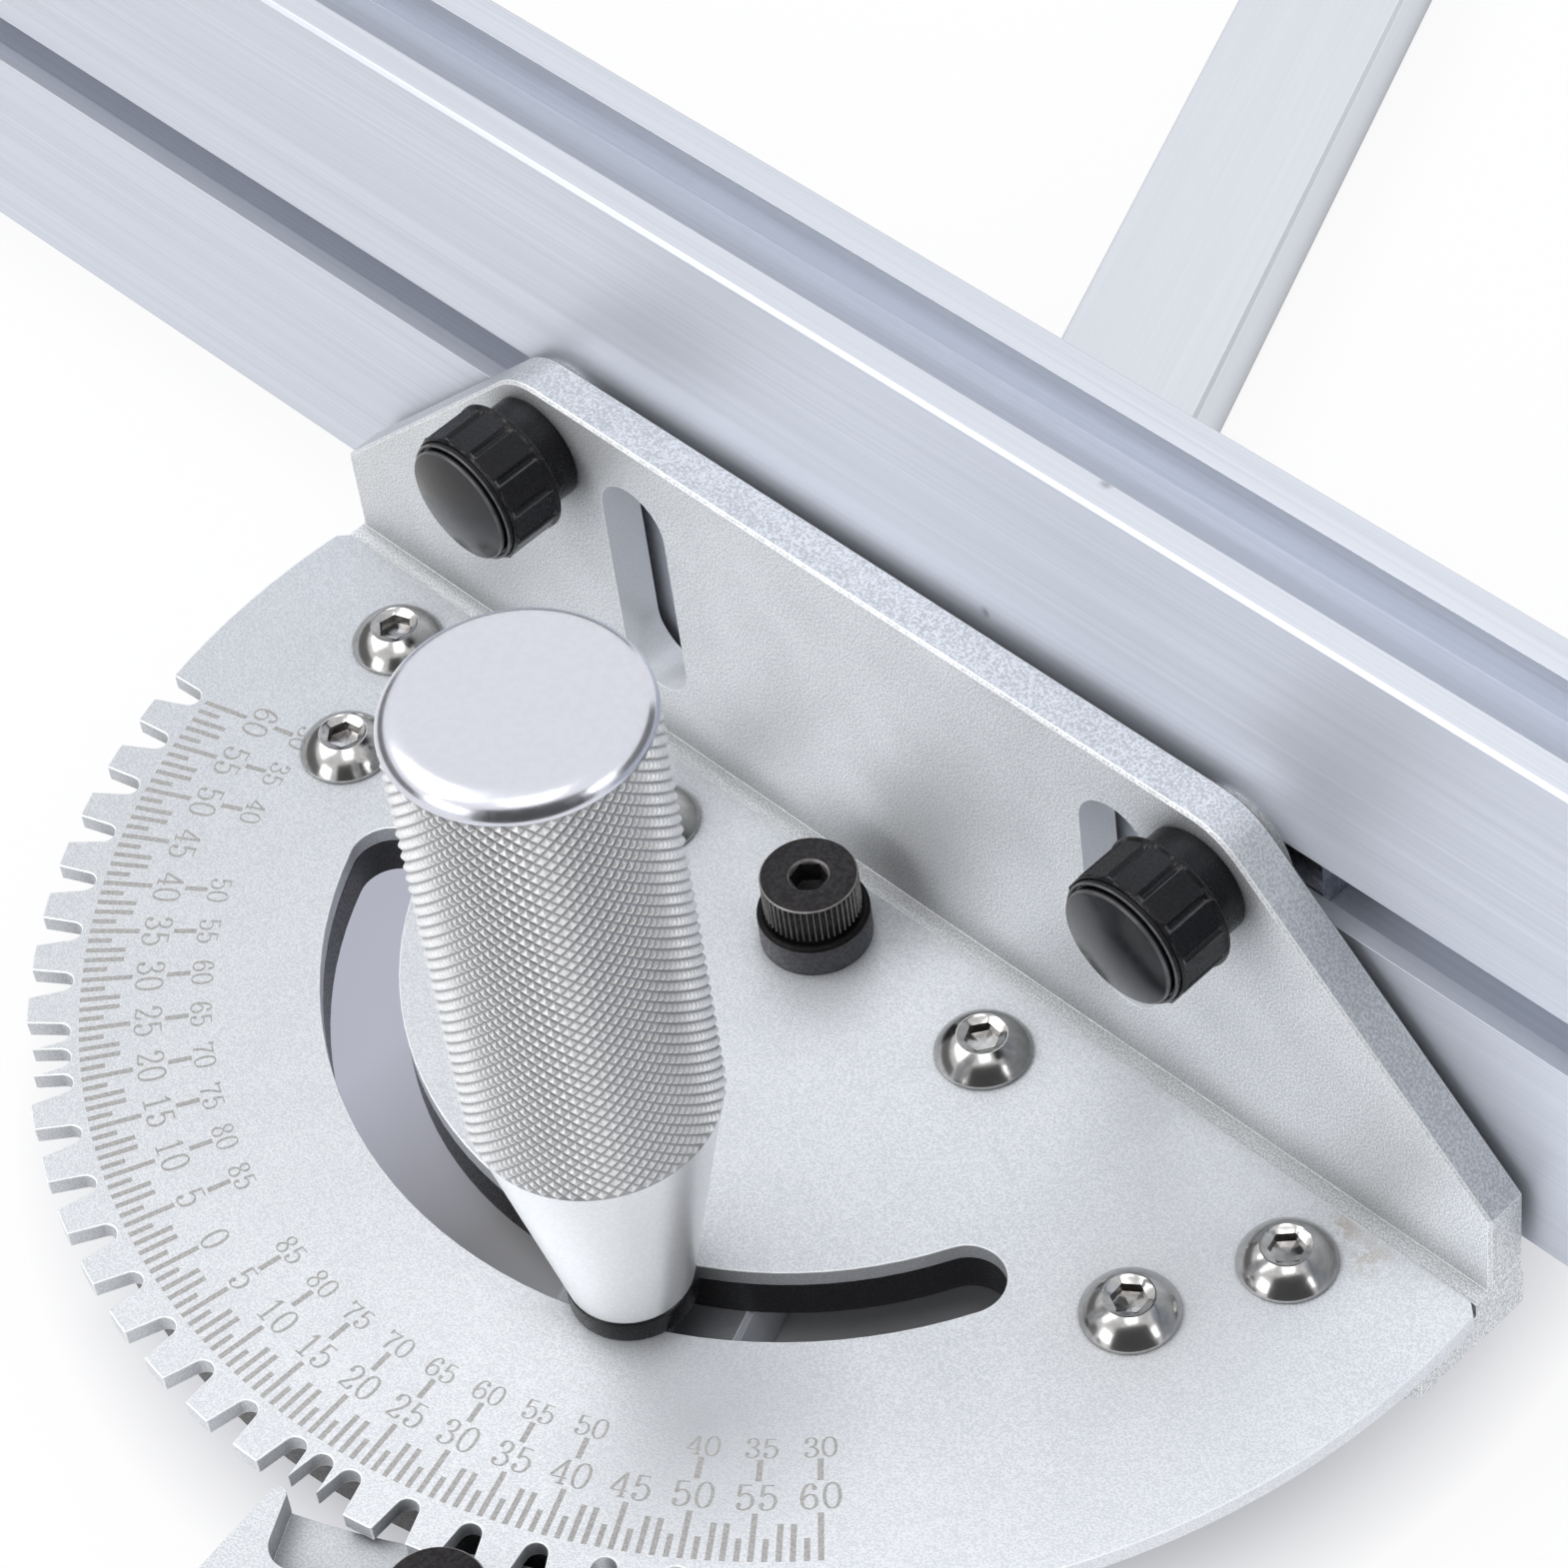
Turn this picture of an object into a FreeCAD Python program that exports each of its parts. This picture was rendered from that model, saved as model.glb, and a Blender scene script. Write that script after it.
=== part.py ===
import FreeCAD, Part
import math
import os

# Miter gauge, in millimetres.
# The head swivels about +Z at the origin, and z = 0 is the underside of the bar.
# +X runs along the fence, and +Y points from the pivot to the fence.
# Bearings are in degrees from -Y towards +X, seen from above.

# Fits
running_play = 0.05      # radial play of a shank in the hole that it turns in
thread_play = 0.02       # radial play of a screw in its tapped hole
sliding_play = 0.3       # play of a piece that slides or swings freely
end_play = 0.1           # between a bolt head and the slot face that it clamps

# Bar
bar_width = 19.0
bar_height = 9.5
bar_user_length = 130.0  # from the pivot to the end beside the handle
bar_work_length = 320.0  # from the pivot to the end beyond the fence
bar_bearing = 22.5
bar_edge_break = 0.5
bar_hole_floor = 1.5     # metal left under the blind holes

# Head: spacer and flange lie on the bar, and the plate lies on both
plate_radius = 80.5
plate_thickness = 2.0
plate_edge_y = 7.5
plate_corner_break = 1.2
spacer_radius = 76.0
spacer_thickness = 4.5

# Scale stops cut in the plate's rim
stop_step = 5
stop_limit = 60
half_stop = 22.5
scale_lead = 15.0        # bearing of a stop is its number less this
notch_floor_radius = 76.0
notch_round = 1.2
notch_flank_angle = 10.8

# Curved slot for the handle's stud
slot_radius = 46.5
slot_width = 8.0
slot_half_angle = 62.4

# Bracket
bracket_half_length = 79.5
bracket_front_y = -7.0
bracket_corner_x = 5.2
bracket_corner_y = 6.7
ledge_drop = 0.3
ledge_gap = 0.1
wall_front_y = 9.6
wall_thickness = 4.8
wall_end_height = 12.3   # this and each other height of the wall are above the plate's underside
wall_top_height = 43.4
wall_top_half_length = 47.4
wall_corner_round = 8.0
wall_edge_break = 0.3
window_x = 32.7
window_shift = 1.3       # the two windows sit this far to the right
window_width = 9.0
window_low = 9.0
window_high = 37.2
pad_height = 1.1         # raised seats on the wall's back, which hold the fence off it
pad_diameter = 13.0
rail_half_length = 60.0
rail_low = 4.0
rail_high = 6.5

# Fence
fence_length = 400.0
fence_thickness = 14.7
fence_height = 65.6
fence_lift = 1.2         # above the plate's top
fence_wall = 2.1
fence_edge_break = 0.4
t_slot_mouth = 7.4
t_slot_lip = 2.0
t_slot_depth = 7.7
t_slot_floor = 2.0
top_slot_offset = 6.95   # from the fence's back face to the slot's middle
chamber_round = 1.0

# Clamping bolts and knobs
knob_x = 44.8
knob_height = 33.45      # above the plate's top
t_bolt_diameter = 6.0
t_bolt_head_width = 10.0
t_bolt_head_length = 16.2
t_bolt_head_thickness = 4.0
t_bolt_reach = 8.0       # past the bracket, into the knob
collar_diameter = 11.7
collar_length = 3.6
knob_diameter = 14.8
knob_length = 7.0
knob_flutes = 12
flute_width = 1.0
flute_depth = 0.5
cap_diameter = 12.9
cap_rim = 0.5
cap_dome = 1.0
cap_stem_diameter = 6.0
cap_stem_length = 1.5
insert_diameter = 8.4

# Button head screws
button_diameter = 9.8
button_height = 2.75
button_rim = 0.5
button_flat_diameter = 5.2
button_key_flats = 3.2
button_key_depth = 1.8
screw_diameter = 5.0
screw_end_gap = 0.3
flange_screws = [(23.5, -0.3), (63.0, -0.2)]
spacer_screw = (55.7, -14.2)

# Shoulder screws of the pivot and the pawl, each on a collar
shoulder_diameter = 8.0
thread_diameter = 6.0
head_diameter = 10.0
head_height = 6.0
head_edge_break = 0.5
head_key_flats = 4.2
head_key_depth = 3.0
cup_diameter = 11.5
cup_height = 4.0
cup_seat_depth = 1.2
thread_end_gap = 0.5     # from a hole's floor to the end of what is screwed in it

# Handle
handle_base_diameter = 12.4
handle_cone_height = 26.65
handle_diameter = 24.4
handle_grip_height = 51.8
handle_shoulder_height = 1.8
handle_top_diameter = 20.0
handle_step = 0.2        # the cone's top stands in by this from the grip
handle_washer_diameter = 12.6
handle_washer_height = 2.65
stud_diameter = 6.0
stud_depth = 25.0        # up into the grip

# Index pawl, described with its tooth seated in a stop
pawl_screw_along = 88.8
pawl_tooth_bearing = -15.0   # from the bar's middle line
pawl_tip_radius = 76.4
pawl_tip_round = 0.9
pawl_swing = 11.5
pawl_pocket_radius = 84.3
pawl_pocket_depth = 3.0
pawl_under_radius = 77.0
pawl_edge_length = 25.0
pawl_end_along = 112.0
pawl_heel_across = -22.0
pawl_outer_round = 6.0
pawl_pocket_round = 3.0

# Finding edges to round
same_place = 0.001       # measures that differ by less are the same
edge_reach = 0.05        # how far an edge may be from the place that names it

# Heights and places that follow from the sizes above
plate_under_z = bar_height + spacer_thickness
plate_top_z = plate_under_z + plate_thickness
wall_back_y = wall_front_y + wall_thickness
fence_back_y = wall_back_y + pad_height
fence_front_y = fence_back_y + fence_thickness
fence_under_z = plate_top_z + fence_lift
fence_top_z = fence_under_z + fence_height
knob_z = plate_top_z + knob_height
t_slot_width = t_bolt_head_width + 2 * sliding_play
thread_end_z = bar_hole_floor + thread_end_gap
cup_top_z = plate_top_z + cup_height
head_seat_z = cup_top_z - cup_seat_depth

X_AXIS = FreeCAD.Vector(1, 0, 0)
Y_AXIS = FreeCAD.Vector(0, 1, 0)
Z_AXIS = FreeCAD.Vector(0, 0, 1)


def level(u, v):
    """Point of an outline that is seen from above."""
    return FreeCAD.Vector(u, v, 0)


def frontal(u, v):
    """Point of an outline in X and Z."""
    return FreeCAD.Vector(u, 0, v)


def sectional(u, v):
    """Point of an outline in Y and Z."""
    return FreeCAD.Vector(0, u, v)


def face(place, start, *steps):
    """Closed outline: a step is a point, or an arc's middle and end points."""
    edges = []
    here = place(*start)
    for step in steps + (start,):
        if isinstance(step[0], tuple):
            middle, end = (place(*point) for point in step)
            edges.append(Part.Arc(here, middle, end).toShape())
        else:
            end = place(*step)
            if end.distanceToPoint(here) > same_place:
                edges.append(Part.LineSegment(here, end).toShape())
        here = end
    return Part.Face(Part.Wire(edges))


def box(low, high):
    size = [b - a for a, b in zip(low, high)]
    return Part.makeBox(*size, FreeCAD.Vector(*low))


def rod(diameter, low, high, x=0.0, y=0.0):
    """Upright cylinder between two heights."""
    return Part.makeCylinder(diameter / 2, high - low, FreeCAD.Vector(x, y, low), Z_AXIS)


def rod_y(diameter, low, high, x, z):
    """Cylinder along Y between two places."""
    return Part.makeCylinder(diameter / 2, high - low, FreeCAD.Vector(x, low, z), Y_AXIS)


def hexagon(flats, low, high):
    """Upright hexagonal prism on the Z axis."""
    radius = flats / math.sqrt(3)
    corners = [(radius * math.cos(math.radians(60 * k)), radius * math.sin(math.radians(60 * k)))
               for k in range(6)]
    solid = face(level, *corners).extrude(Z_AXIS * (high - low))
    return moved(solid, 0, 0, low)


def lathe(start, *steps):
    """Solid turned about Z from half its section, given as radius and height."""
    return face(frontal, start, *steps).revolve(FreeCAD.Vector(), Z_AXIS, 360)


def dome(edge, low, flat, high):
    """Arc of a dome about the axis, from its edge up to the edge of its flat top."""
    centre = (edge ** 2 - flat ** 2 + low ** 2 - high ** 2) / (2 * (low - high))
    radius = math.hypot(edge, low - centre)
    half = (math.atan2(low - centre, edge) + math.atan2(high - centre, flat)) / 2
    return (radius * math.cos(half), centre + radius * math.sin(half)), (flat, high)


def shoulder_arc(edge, low, flat, high):
    """Arc that leaves a turned side upright and leans in to the edge of a flat top."""
    lean = edge - flat
    rise = high - low
    radius = (lean ** 2 + rise ** 2) / (2 * lean)
    half = math.asin(rise / radius) / 2
    return (edge - radius * (1 - math.cos(half)), low + radius * math.sin(half)), (flat, high)


def moved(shape, x, y, z):
    copy = shape.copy()
    copy.translate(FreeCAD.Vector(x, y, z))
    return copy


def turned(shape, degrees, x=0.0, y=0.0, axis=Z_AXIS):
    copy = shape.copy()
    copy.rotate(FreeCAD.Vector(x, y, 0), axis, degrees)
    return copy


def at_bearing(shape, bearing):
    """Shape drawn along +X, turned to point along a bearing."""
    return turned(shape, bearing - 90)


def bar_place(along, across=0.0):
    """Place over the bar, from the pivot towards the handle and to the bar's right."""
    angle = math.radians(bar_bearing)
    x = along * math.sin(angle) + across * math.cos(angle)
    y = across * math.sin(angle) - along * math.cos(angle)
    return x, y


def upright_edges(shape, places):
    """Upright edges of a shape at the given places."""
    found = []
    for edge in shape.Edges:
        ends = [vertex.Point for vertex in edge.Vertexes]
        if len(ends) == 2 and math.hypot(ends[0].x - ends[1].x, ends[0].y - ends[1].y) < same_place:
            if any(math.hypot(ends[0].x - x, ends[0].y - y) < edge_reach for x, y in places):
                found.append(edge)
    return found


def v_face(tip_radius, round_radius, reach):
    """Rounded V pointing at the pivot from +X, with its flanks at the notch's angle."""
    angle = math.radians(notch_flank_angle)
    centre = tip_radius + round_radius
    near = centre - round_radius * math.sin(angle)
    half = round_radius * math.cos(angle)
    far = half + (reach - near) * math.tan(angle)
    return face(level, (reach, -far), (near, -half), ((tip_radius, 0), (near, half)), (reach, far))


def curved_slot(radius, width, half_angle, low, high):
    """Slot along an arc about the pivot, with round ends."""
    def at(r, bearing):
        return r * math.sin(math.radians(bearing)), -r * math.cos(math.radians(bearing))
    inner = radius - width / 2
    outer = radius + width / 2
    end_turn = math.degrees(width / 2 / radius)
    outline = face(level, at(inner, -half_angle),
                   (at(inner, 0), at(inner, half_angle)),
                   (at(radius, half_angle + end_turn), at(outer, half_angle)),
                   (at(outer, 0), at(outer, -half_angle)),
                   (at(radius, -half_angle - end_turn), at(inner, -half_angle)))
    return moved(outline.extrude(Z_AXIS * (high - low)), 0, 0, low)


def half_disc(radius, edge_y, low, high):
    """Disc about the pivot, kept on the handle's side of a straight edge."""
    return rod(2 * radius, low, high).common(box((-radius, -radius, low), (radius, edge_y, high)))


# Bar

def make_bar():
    low = (-bar_work_length, -bar_width / 2, 0)
    high = (bar_user_length, bar_width / 2, bar_height)
    bar = box(low, high)
    bar = bar.makeChamfer(bar_edge_break, bar.Edges)
    bar = at_bearing(bar, bar_bearing)
    tapped = thread_diameter + 2 * thread_play
    holes = [rod(tapped, bar_hole_floor, bar_height, *bar_place(along)) for along in (0, pawl_screw_along)]
    holes.append(rod(stud_diameter + 2 * running_play, bar_hole_floor, bar_height, *bar_place(slot_radius)))
    return bar.cut(holes)


# Head

def screw_places():
    places = []
    for x, y in flange_screws + [spacer_screw]:
        places += [(-x, y), (x, y)]
    return places


def make_head_plate():
    plate = half_disc(plate_radius, plate_edge_y, plate_under_z, plate_top_z)
    corner_x = math.sqrt(plate_radius ** 2 - plate_edge_y ** 2)
    corners = upright_edges(plate, [(-corner_x, plate_edge_y), (corner_x, plate_edge_y)])
    plate = plate.makeChamfer(plate_corner_break, corners)
    stops = list(range(-stop_limit, stop_limit + 1, stop_step)) + [-half_stop, half_stop]
    notch = v_face(notch_floor_radius, notch_round, plate_radius + plate_thickness)
    notch = moved(notch.extrude(Z_AXIS * plate_thickness), 0, 0, plate_under_z)
    cutters = [at_bearing(notch, stop - scale_lead) for stop in stops]
    cutters += [rod(screw_diameter + 2 * running_play, plate_under_z, plate_top_z, *place)
                for place in screw_places()]
    cutters.append(rod(shoulder_diameter + 2 * running_play, plate_under_z, plate_top_z))
    cutters.append(curved_slot(slot_radius, slot_width, slot_half_angle, plate_under_z, plate_top_z))
    return plate.cut(cutters)


def make_spacer_plate():
    plate = half_disc(spacer_radius, bracket_front_y, bar_height, plate_under_z)
    cutters = [curved_slot(slot_radius, slot_width, slot_half_angle, bar_height, plate_under_z)]
    for side in (-1, 1):
        cutters.append(rod(screw_diameter + 2 * thread_play, bar_height, plate_under_z,
                           side * spacer_screw[0], spacer_screw[1]))
    return plate.cut(cutters)


def make_wall():
    top = plate_under_z + wall_top_height
    shoulder = plate_under_z + wall_end_height
    end = bracket_half_length
    crown = wall_top_half_length
    wall = face(frontal, (-end, bar_height), (end, bar_height), (end, shoulder), (crown, top),
                (-crown, top), (-end, shoulder))
    wall = moved(wall.extrude(Y_AXIS * wall_thickness), 0, wall_front_y, 0)
    crowns = [edge for edge in wall.Edges
              if abs(abs(edge.CenterOfMass.x) - crown) < same_place
              and abs(edge.CenterOfMass.z - top) < same_place]
    wall = wall.makeFillet(wall_corner_round, crowns)
    rims = [edge for edge in wall.Edges
            if edge.BoundBox.YLength < same_place and edge.CenterOfMass.z > bar_height + same_place]
    return wall.makeChamfer(wall_edge_break, rims)


def make_bracket():
    end = bracket_half_length
    chamfer_x = end - bracket_corner_x
    chamfer_y = bracket_front_y + bracket_corner_y
    flange = face(level, (-end, wall_back_y), (-end, chamfer_y), (-chamfer_x, bracket_front_y),
                  (chamfer_x, bracket_front_y), (end, chamfer_y), (end, wall_back_y))
    flange = moved(flange.extrude(Z_AXIS * spacer_thickness), 0, 0, bar_height)
    ledge_back_y = wall_front_y + wall_edge_break
    ledge = box((-end, plate_edge_y + ledge_gap, bar_height), (end, ledge_back_y, plate_top_z - ledge_drop))
    seats = [box((-rail_half_length, wall_back_y, plate_under_z + rail_low),
                 (rail_half_length, fence_back_y, plate_under_z + rail_high))]
    for side in (-1, 1):
        seats.append(rod_y(pad_diameter, wall_back_y, fence_back_y, side * knob_x, knob_z))
    bracket = flange.fuse([ledge, make_wall()] + seats).removeSplitter()
    cutters = [rod(shoulder_diameter + 2 * running_play, bar_height, plate_under_z)]
    window = face(frontal, (-window_width / 2, plate_under_z + window_low + window_width / 2),
                  ((0, plate_under_z + window_low),
                   (window_width / 2, plate_under_z + window_low + window_width / 2)),
                  (window_width / 2, plate_under_z + window_high - window_width / 2),
                  ((0, plate_under_z + window_high),
                   (-window_width / 2, plate_under_z + window_high - window_width / 2)))
    window = window.extrude(Y_AXIS * wall_thickness)
    for side in (-1, 1):
        cutters.append(moved(window, window_shift + side * window_x, wall_front_y, 0))
        cutters.append(rod_y(t_bolt_diameter + 2 * running_play, wall_front_y, fence_back_y,
                             side * knob_x, knob_z))
        for x, y in flange_screws:
            cutters.append(rod(screw_diameter + 2 * thread_play, bar_height, plate_under_z, side * x, y))
    return bracket.cut(cutters)


def make_button_screw(grip):
    """Button head screw whose head sits on the plate and whose shank goes down by its grip."""
    edge = button_diameter / 2
    flat = button_flat_diameter / 2
    shank = screw_diameter / 2
    screw = lathe((0, -grip), (shank, -grip), (shank, 0), (edge, 0), (edge, button_rim),
                  dome(edge, button_rim, flat, button_height), (0, button_height))
    return screw.cut(hexagon(button_key_flats, button_height - button_key_depth, button_height))


# Fence

def t_slot(outwards):
    """T-slot's section about its middle line, from its mouth inwards; outwards places a point."""
    mouth = t_slot_mouth / 2
    wide = t_slot_width / 2
    return [outwards(-mouth, 0), outwards(-mouth, t_slot_lip), outwards(-wide, t_slot_lip),
            outwards(-wide, t_slot_depth), outwards(wide, t_slot_depth), outwards(wide, t_slot_lip),
            outwards(mouth, t_slot_lip), outwards(mouth, 0)]


def rounded_chamber(low_y, low_z, high_y, high_z):
    """Hollow right through the fence, with rounded corners."""
    chamber = box((-fence_length / 2, low_y, low_z), (fence_length / 2, high_y, high_z))
    long_edges = [edge for edge in chamber.Edges if edge.BoundBox.XLength > same_place]
    return chamber.makeFillet(chamber_round, long_edges)


def make_fence():
    cut = fence_edge_break
    back, front = fence_back_y, fence_front_y
    under, top = fence_under_z, fence_top_z
    section = face(sectional, (back + cut, under), (front - cut, under), (front, under + cut),
                   (front, top - cut), (front - cut, top), (back + cut, top), (back, top - cut),
                   (back, under + cut))
    fence = moved(section.extrude(X_AXIS * fence_length), -fence_length / 2, 0, 0)
    middle_y = back + top_slot_offset
    top_slot = face(sectional, *t_slot(lambda offset, depth: (middle_y + offset, top - depth)))
    back_slot = face(sectional, *t_slot(lambda offset, depth: (back + depth, knob_z + offset)))
    slots = [moved(slot.extrude(X_AXIS * fence_length), -fence_length / 2, 0, 0)
             for slot in (top_slot, back_slot)]
    slot_half = t_slot_width / 2
    chambers = [
        rounded_chamber(back + fence_wall, under + fence_wall,
                        front - fence_wall, knob_z - slot_half - t_slot_floor),
        rounded_chamber(back + t_slot_depth + t_slot_floor, knob_z - slot_half,
                        front - fence_wall, knob_z + slot_half),
        rounded_chamber(back + fence_wall, knob_z + slot_half + t_slot_floor,
                        front - fence_wall, top - t_slot_depth - t_slot_floor),
    ]
    return fence.cut(slots + chambers)


# Clamping bolts and knobs; each is drawn along Z from the bracket's face, then laid along -Y

def facing_user(shape, x):
    """Shape drawn up from z = 0, laid so that it points from the bracket's face to the user."""
    laid = turned(shape, 90, axis=X_AXIS)
    return moved(laid, x, wall_front_y, knob_z)


def make_t_bolt():
    seat = -(wall_thickness + pad_height + t_slot_lip + end_play)
    shank = rod(t_bolt_diameter, seat, t_bolt_reach)
    head = box((-t_bolt_head_length / 2, -t_bolt_head_width / 2, seat - t_bolt_head_thickness),
               (t_bolt_head_length / 2, t_bolt_head_width / 2, seat))
    return head.fuse(shank).removeSplitter()


def make_knob_body():
    top = collar_length + knob_length
    body = rod(collar_diameter, 0, collar_length).fuse(rod(knob_diameter, collar_length, top))
    bottom_flute = collar_length
    flute_middle = knob_diameter / 2 - flute_depth
    flute = box((flute_middle, -flute_width / 2, bottom_flute), (knob_diameter, flute_width / 2, top))
    cutters = [turned(flute, 360 * k / knob_flutes) for k in range(knob_flutes)]
    cutters.append(rod(insert_diameter, 0, t_bolt_reach + sliding_play))
    cutters.append(rod(cap_stem_diameter, t_bolt_reach, top))
    return body.removeSplitter().cut(cutters)


def make_knob_cap():
    low = collar_length + knob_length
    edge = cap_diameter / 2
    stem = cap_stem_diameter / 2 - running_play
    rim = low + cap_rim
    return lathe((0, low - cap_stem_length), (stem, low - cap_stem_length), (stem, low), (edge, low),
                 (edge, rim), dome(edge, rim, 0, rim + cap_dome))


def make_knob_insert():
    sleeve = rod(insert_diameter - 2 * running_play, 0, t_bolt_reach)
    return sleeve.cut(rod(t_bolt_diameter + 2 * running_play, 0, t_bolt_reach))


# Pivot and pawl screws

def make_shoulder_screw():
    edge = head_diameter / 2
    shoulder = shoulder_diameter / 2
    thread = thread_diameter / 2
    crown = head_seat_z + head_height
    screw = lathe((0, thread_end_z), (thread, thread_end_z), (thread, bar_height),
                  (shoulder, bar_height), (shoulder, head_seat_z), (edge, head_seat_z),
                  (edge, crown - head_edge_break), (edge - head_edge_break, crown), (0, crown))
    return screw.cut(hexagon(head_key_flats, crown - head_key_depth, crown))


def make_cup():
    cup = rod(cup_diameter, plate_top_z, cup_top_z)
    seat = rod(head_diameter + 2 * running_play, head_seat_z, cup_top_z)
    bore = rod(shoulder_diameter + 2 * running_play, plate_top_z, cup_top_z)
    return cup.cut([seat, bore])


# Handle

def make_handle_grip():
    base = plate_top_z + handle_washer_height
    cone_top = base + handle_cone_height
    grip_top = cone_top + handle_grip_height
    crown = grip_top + handle_shoulder_height
    radius = handle_diameter / 2
    flat = handle_top_diameter / 2
    grip = lathe((0, base), (handle_base_diameter / 2, base), (radius - handle_step, cone_top),
                 (radius, cone_top), (radius, grip_top), shoulder_arc(radius, grip_top, flat, crown),
                 (0, crown))
    grip = grip.cut(rod(stud_diameter + 2 * running_play, base, base + stud_depth))
    return moved(grip, *bar_place(slot_radius), 0)


def make_handle_washer():
    washer = rod(handle_washer_diameter, plate_top_z, plate_top_z + handle_washer_height)
    washer = washer.cut(rod(stud_diameter + 2 * running_play, plate_top_z,
                            plate_top_z + handle_washer_height))
    return moved(washer, *bar_place(slot_radius), 0)


def make_handle_stud():
    top = plate_top_z + handle_washer_height + stud_depth
    return rod(stud_diameter, thread_end_z, top, *bar_place(slot_radius))


# Index pawl, drawn with the bar along +X

def make_index_pawl():
    flank = math.radians(pawl_tooth_bearing - notch_flank_angle)
    middle = math.radians(pawl_tooth_bearing)
    centre_radius = pawl_tip_radius + pawl_tip_round
    start = (centre_radius * math.cos(middle) + pawl_tip_round * math.sin(flank),
             centre_radius * math.sin(middle) - pawl_tip_round * math.cos(flank))
    heel = (start[0] + pawl_edge_length * math.cos(flank), start[1] + pawl_edge_length * math.sin(flank))
    side = bar_width / 2
    end = pawl_end_along
    inner = pawl_under_radius - bar_width
    corners = [heel, (end, pawl_heel_across), (end, side)]
    body = face(level, start, *corners, (inner, side)).extrude(Z_AXIS * (plate_top_z - bar_height))
    body = moved(body, 0, 0, bar_height)
    body = body.makeFillet(pawl_outer_round, upright_edges(body, corners))
    floor_z = plate_top_z - pawl_pocket_depth
    body = body.cut(rod(2 * pawl_pocket_radius, floor_z, plate_top_z))
    tooth = v_face(pawl_tip_radius, pawl_tip_round, pawl_pocket_radius + pawl_pocket_round)
    tooth = turned(tooth.extrude(Z_AXIS * pawl_pocket_depth), pawl_tooth_bearing)
    tooth = moved(tooth, 0, 0, floor_z)
    under = rod(2 * pawl_under_radius, bar_height, floor_z)
    pawl = body.cut(under).fuse(tooth).removeSplitter()
    pawl = pawl.makeFillet(pawl_pocket_round, pocket_corner(pawl, floor_z))
    bore = rod(shoulder_diameter + 2 * running_play, bar_height, plate_top_z, pawl_screw_along, 0)
    pawl = turned(pawl.cut(bore), pawl_swing, pawl_screw_along)
    return at_bearing(pawl.cut(under), bar_bearing)


def pocket_corner(pawl, floor_z):
    """Upright edge where the tooth's right flank meets the pocket's wall."""
    corners = []
    for edge in pawl.Edges:
        extent = edge.BoundBox
        upright = extent.XLength < same_place and abs(extent.ZLength - pawl_pocket_depth) < same_place
        if upright and extent.ZMin > floor_z - same_place:
            place = edge.CenterOfMass
            if abs(math.hypot(place.x, place.y) - pawl_pocket_radius) < edge_reach and place.y < 0:
                corners.append(edge)
    return corners[-1:]


def save(name, shape):
    shape.exportStep("parts/" + name + ".step")


os.makedirs("parts", exist_ok=True)

save("miter_bar", make_bar())
save("head_plate", make_head_plate())
save("spacer_plate", make_spacer_plate())
save("bracket", make_bracket())
save("fence_extrusion", make_fence())

screw_grip = plate_thickness + spacer_thickness - screw_end_gap
for number, place in enumerate(screw_places(), 1):
    save("head_screw_" + str(number), moved(make_button_screw(screw_grip), *place, plate_top_z))

for side_name, side_x in (("left", -knob_x), ("right", knob_x)):
    save("t_bolt_" + side_name, facing_user(make_t_bolt(), side_x))
    save("knob_body_" + side_name, facing_user(make_knob_body(), side_x))
    save("knob_cap_" + side_name, facing_user(make_knob_cap(), side_x))
    save("knob_insert_" + side_name, facing_user(make_knob_insert(), side_x))

save("pivot_screw", make_shoulder_screw())
save("pivot_cup", make_cup())
save("pawl_screw", moved(make_shoulder_screw(), *bar_place(pawl_screw_along), 0))
save("pawl_cup", moved(make_cup(), *bar_place(pawl_screw_along), 0))
save("index_pawl", make_index_pawl())
save("handle_grip", make_handle_grip())
save("handle_washer", make_handle_washer())
save("handle_stud", make_handle_stud())
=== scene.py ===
import math

import bmesh
import bpy
from mathutils import Matrix, Vector


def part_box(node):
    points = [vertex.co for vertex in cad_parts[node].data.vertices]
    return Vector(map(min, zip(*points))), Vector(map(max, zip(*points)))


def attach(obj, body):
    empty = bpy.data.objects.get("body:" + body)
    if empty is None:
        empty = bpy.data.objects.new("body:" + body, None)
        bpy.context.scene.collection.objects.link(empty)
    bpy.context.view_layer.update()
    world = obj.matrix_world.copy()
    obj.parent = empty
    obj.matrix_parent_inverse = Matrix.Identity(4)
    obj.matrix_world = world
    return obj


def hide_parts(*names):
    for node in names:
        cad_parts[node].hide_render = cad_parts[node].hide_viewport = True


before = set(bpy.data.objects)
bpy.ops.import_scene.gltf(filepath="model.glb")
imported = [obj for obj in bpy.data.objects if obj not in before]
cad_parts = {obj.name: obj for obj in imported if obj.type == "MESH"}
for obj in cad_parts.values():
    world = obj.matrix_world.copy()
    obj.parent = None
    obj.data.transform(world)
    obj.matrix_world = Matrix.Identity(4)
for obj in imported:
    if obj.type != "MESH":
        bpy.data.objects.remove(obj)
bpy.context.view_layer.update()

# Miter gauge, in metres. +X runs along the fence, +Y from the pivot to the fence, +Z up.
# Bearings are in degrees from -Y towards +X, seen from above.

MM = 0.001
PLATE_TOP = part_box("head_plate")[1].z
SCALE_LEAD = 15          # bearing of a stop is its number less this
BAR_BEARING = 22.5
PAINTED_LIGHT_SIDE = 75 * MM           # where the painted light that changes along X has its end gains
CORNER_SHADE_REACH = 9 * MM   # how far away a face still darkens a corner, as painted shade


# Shader nodes

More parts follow.
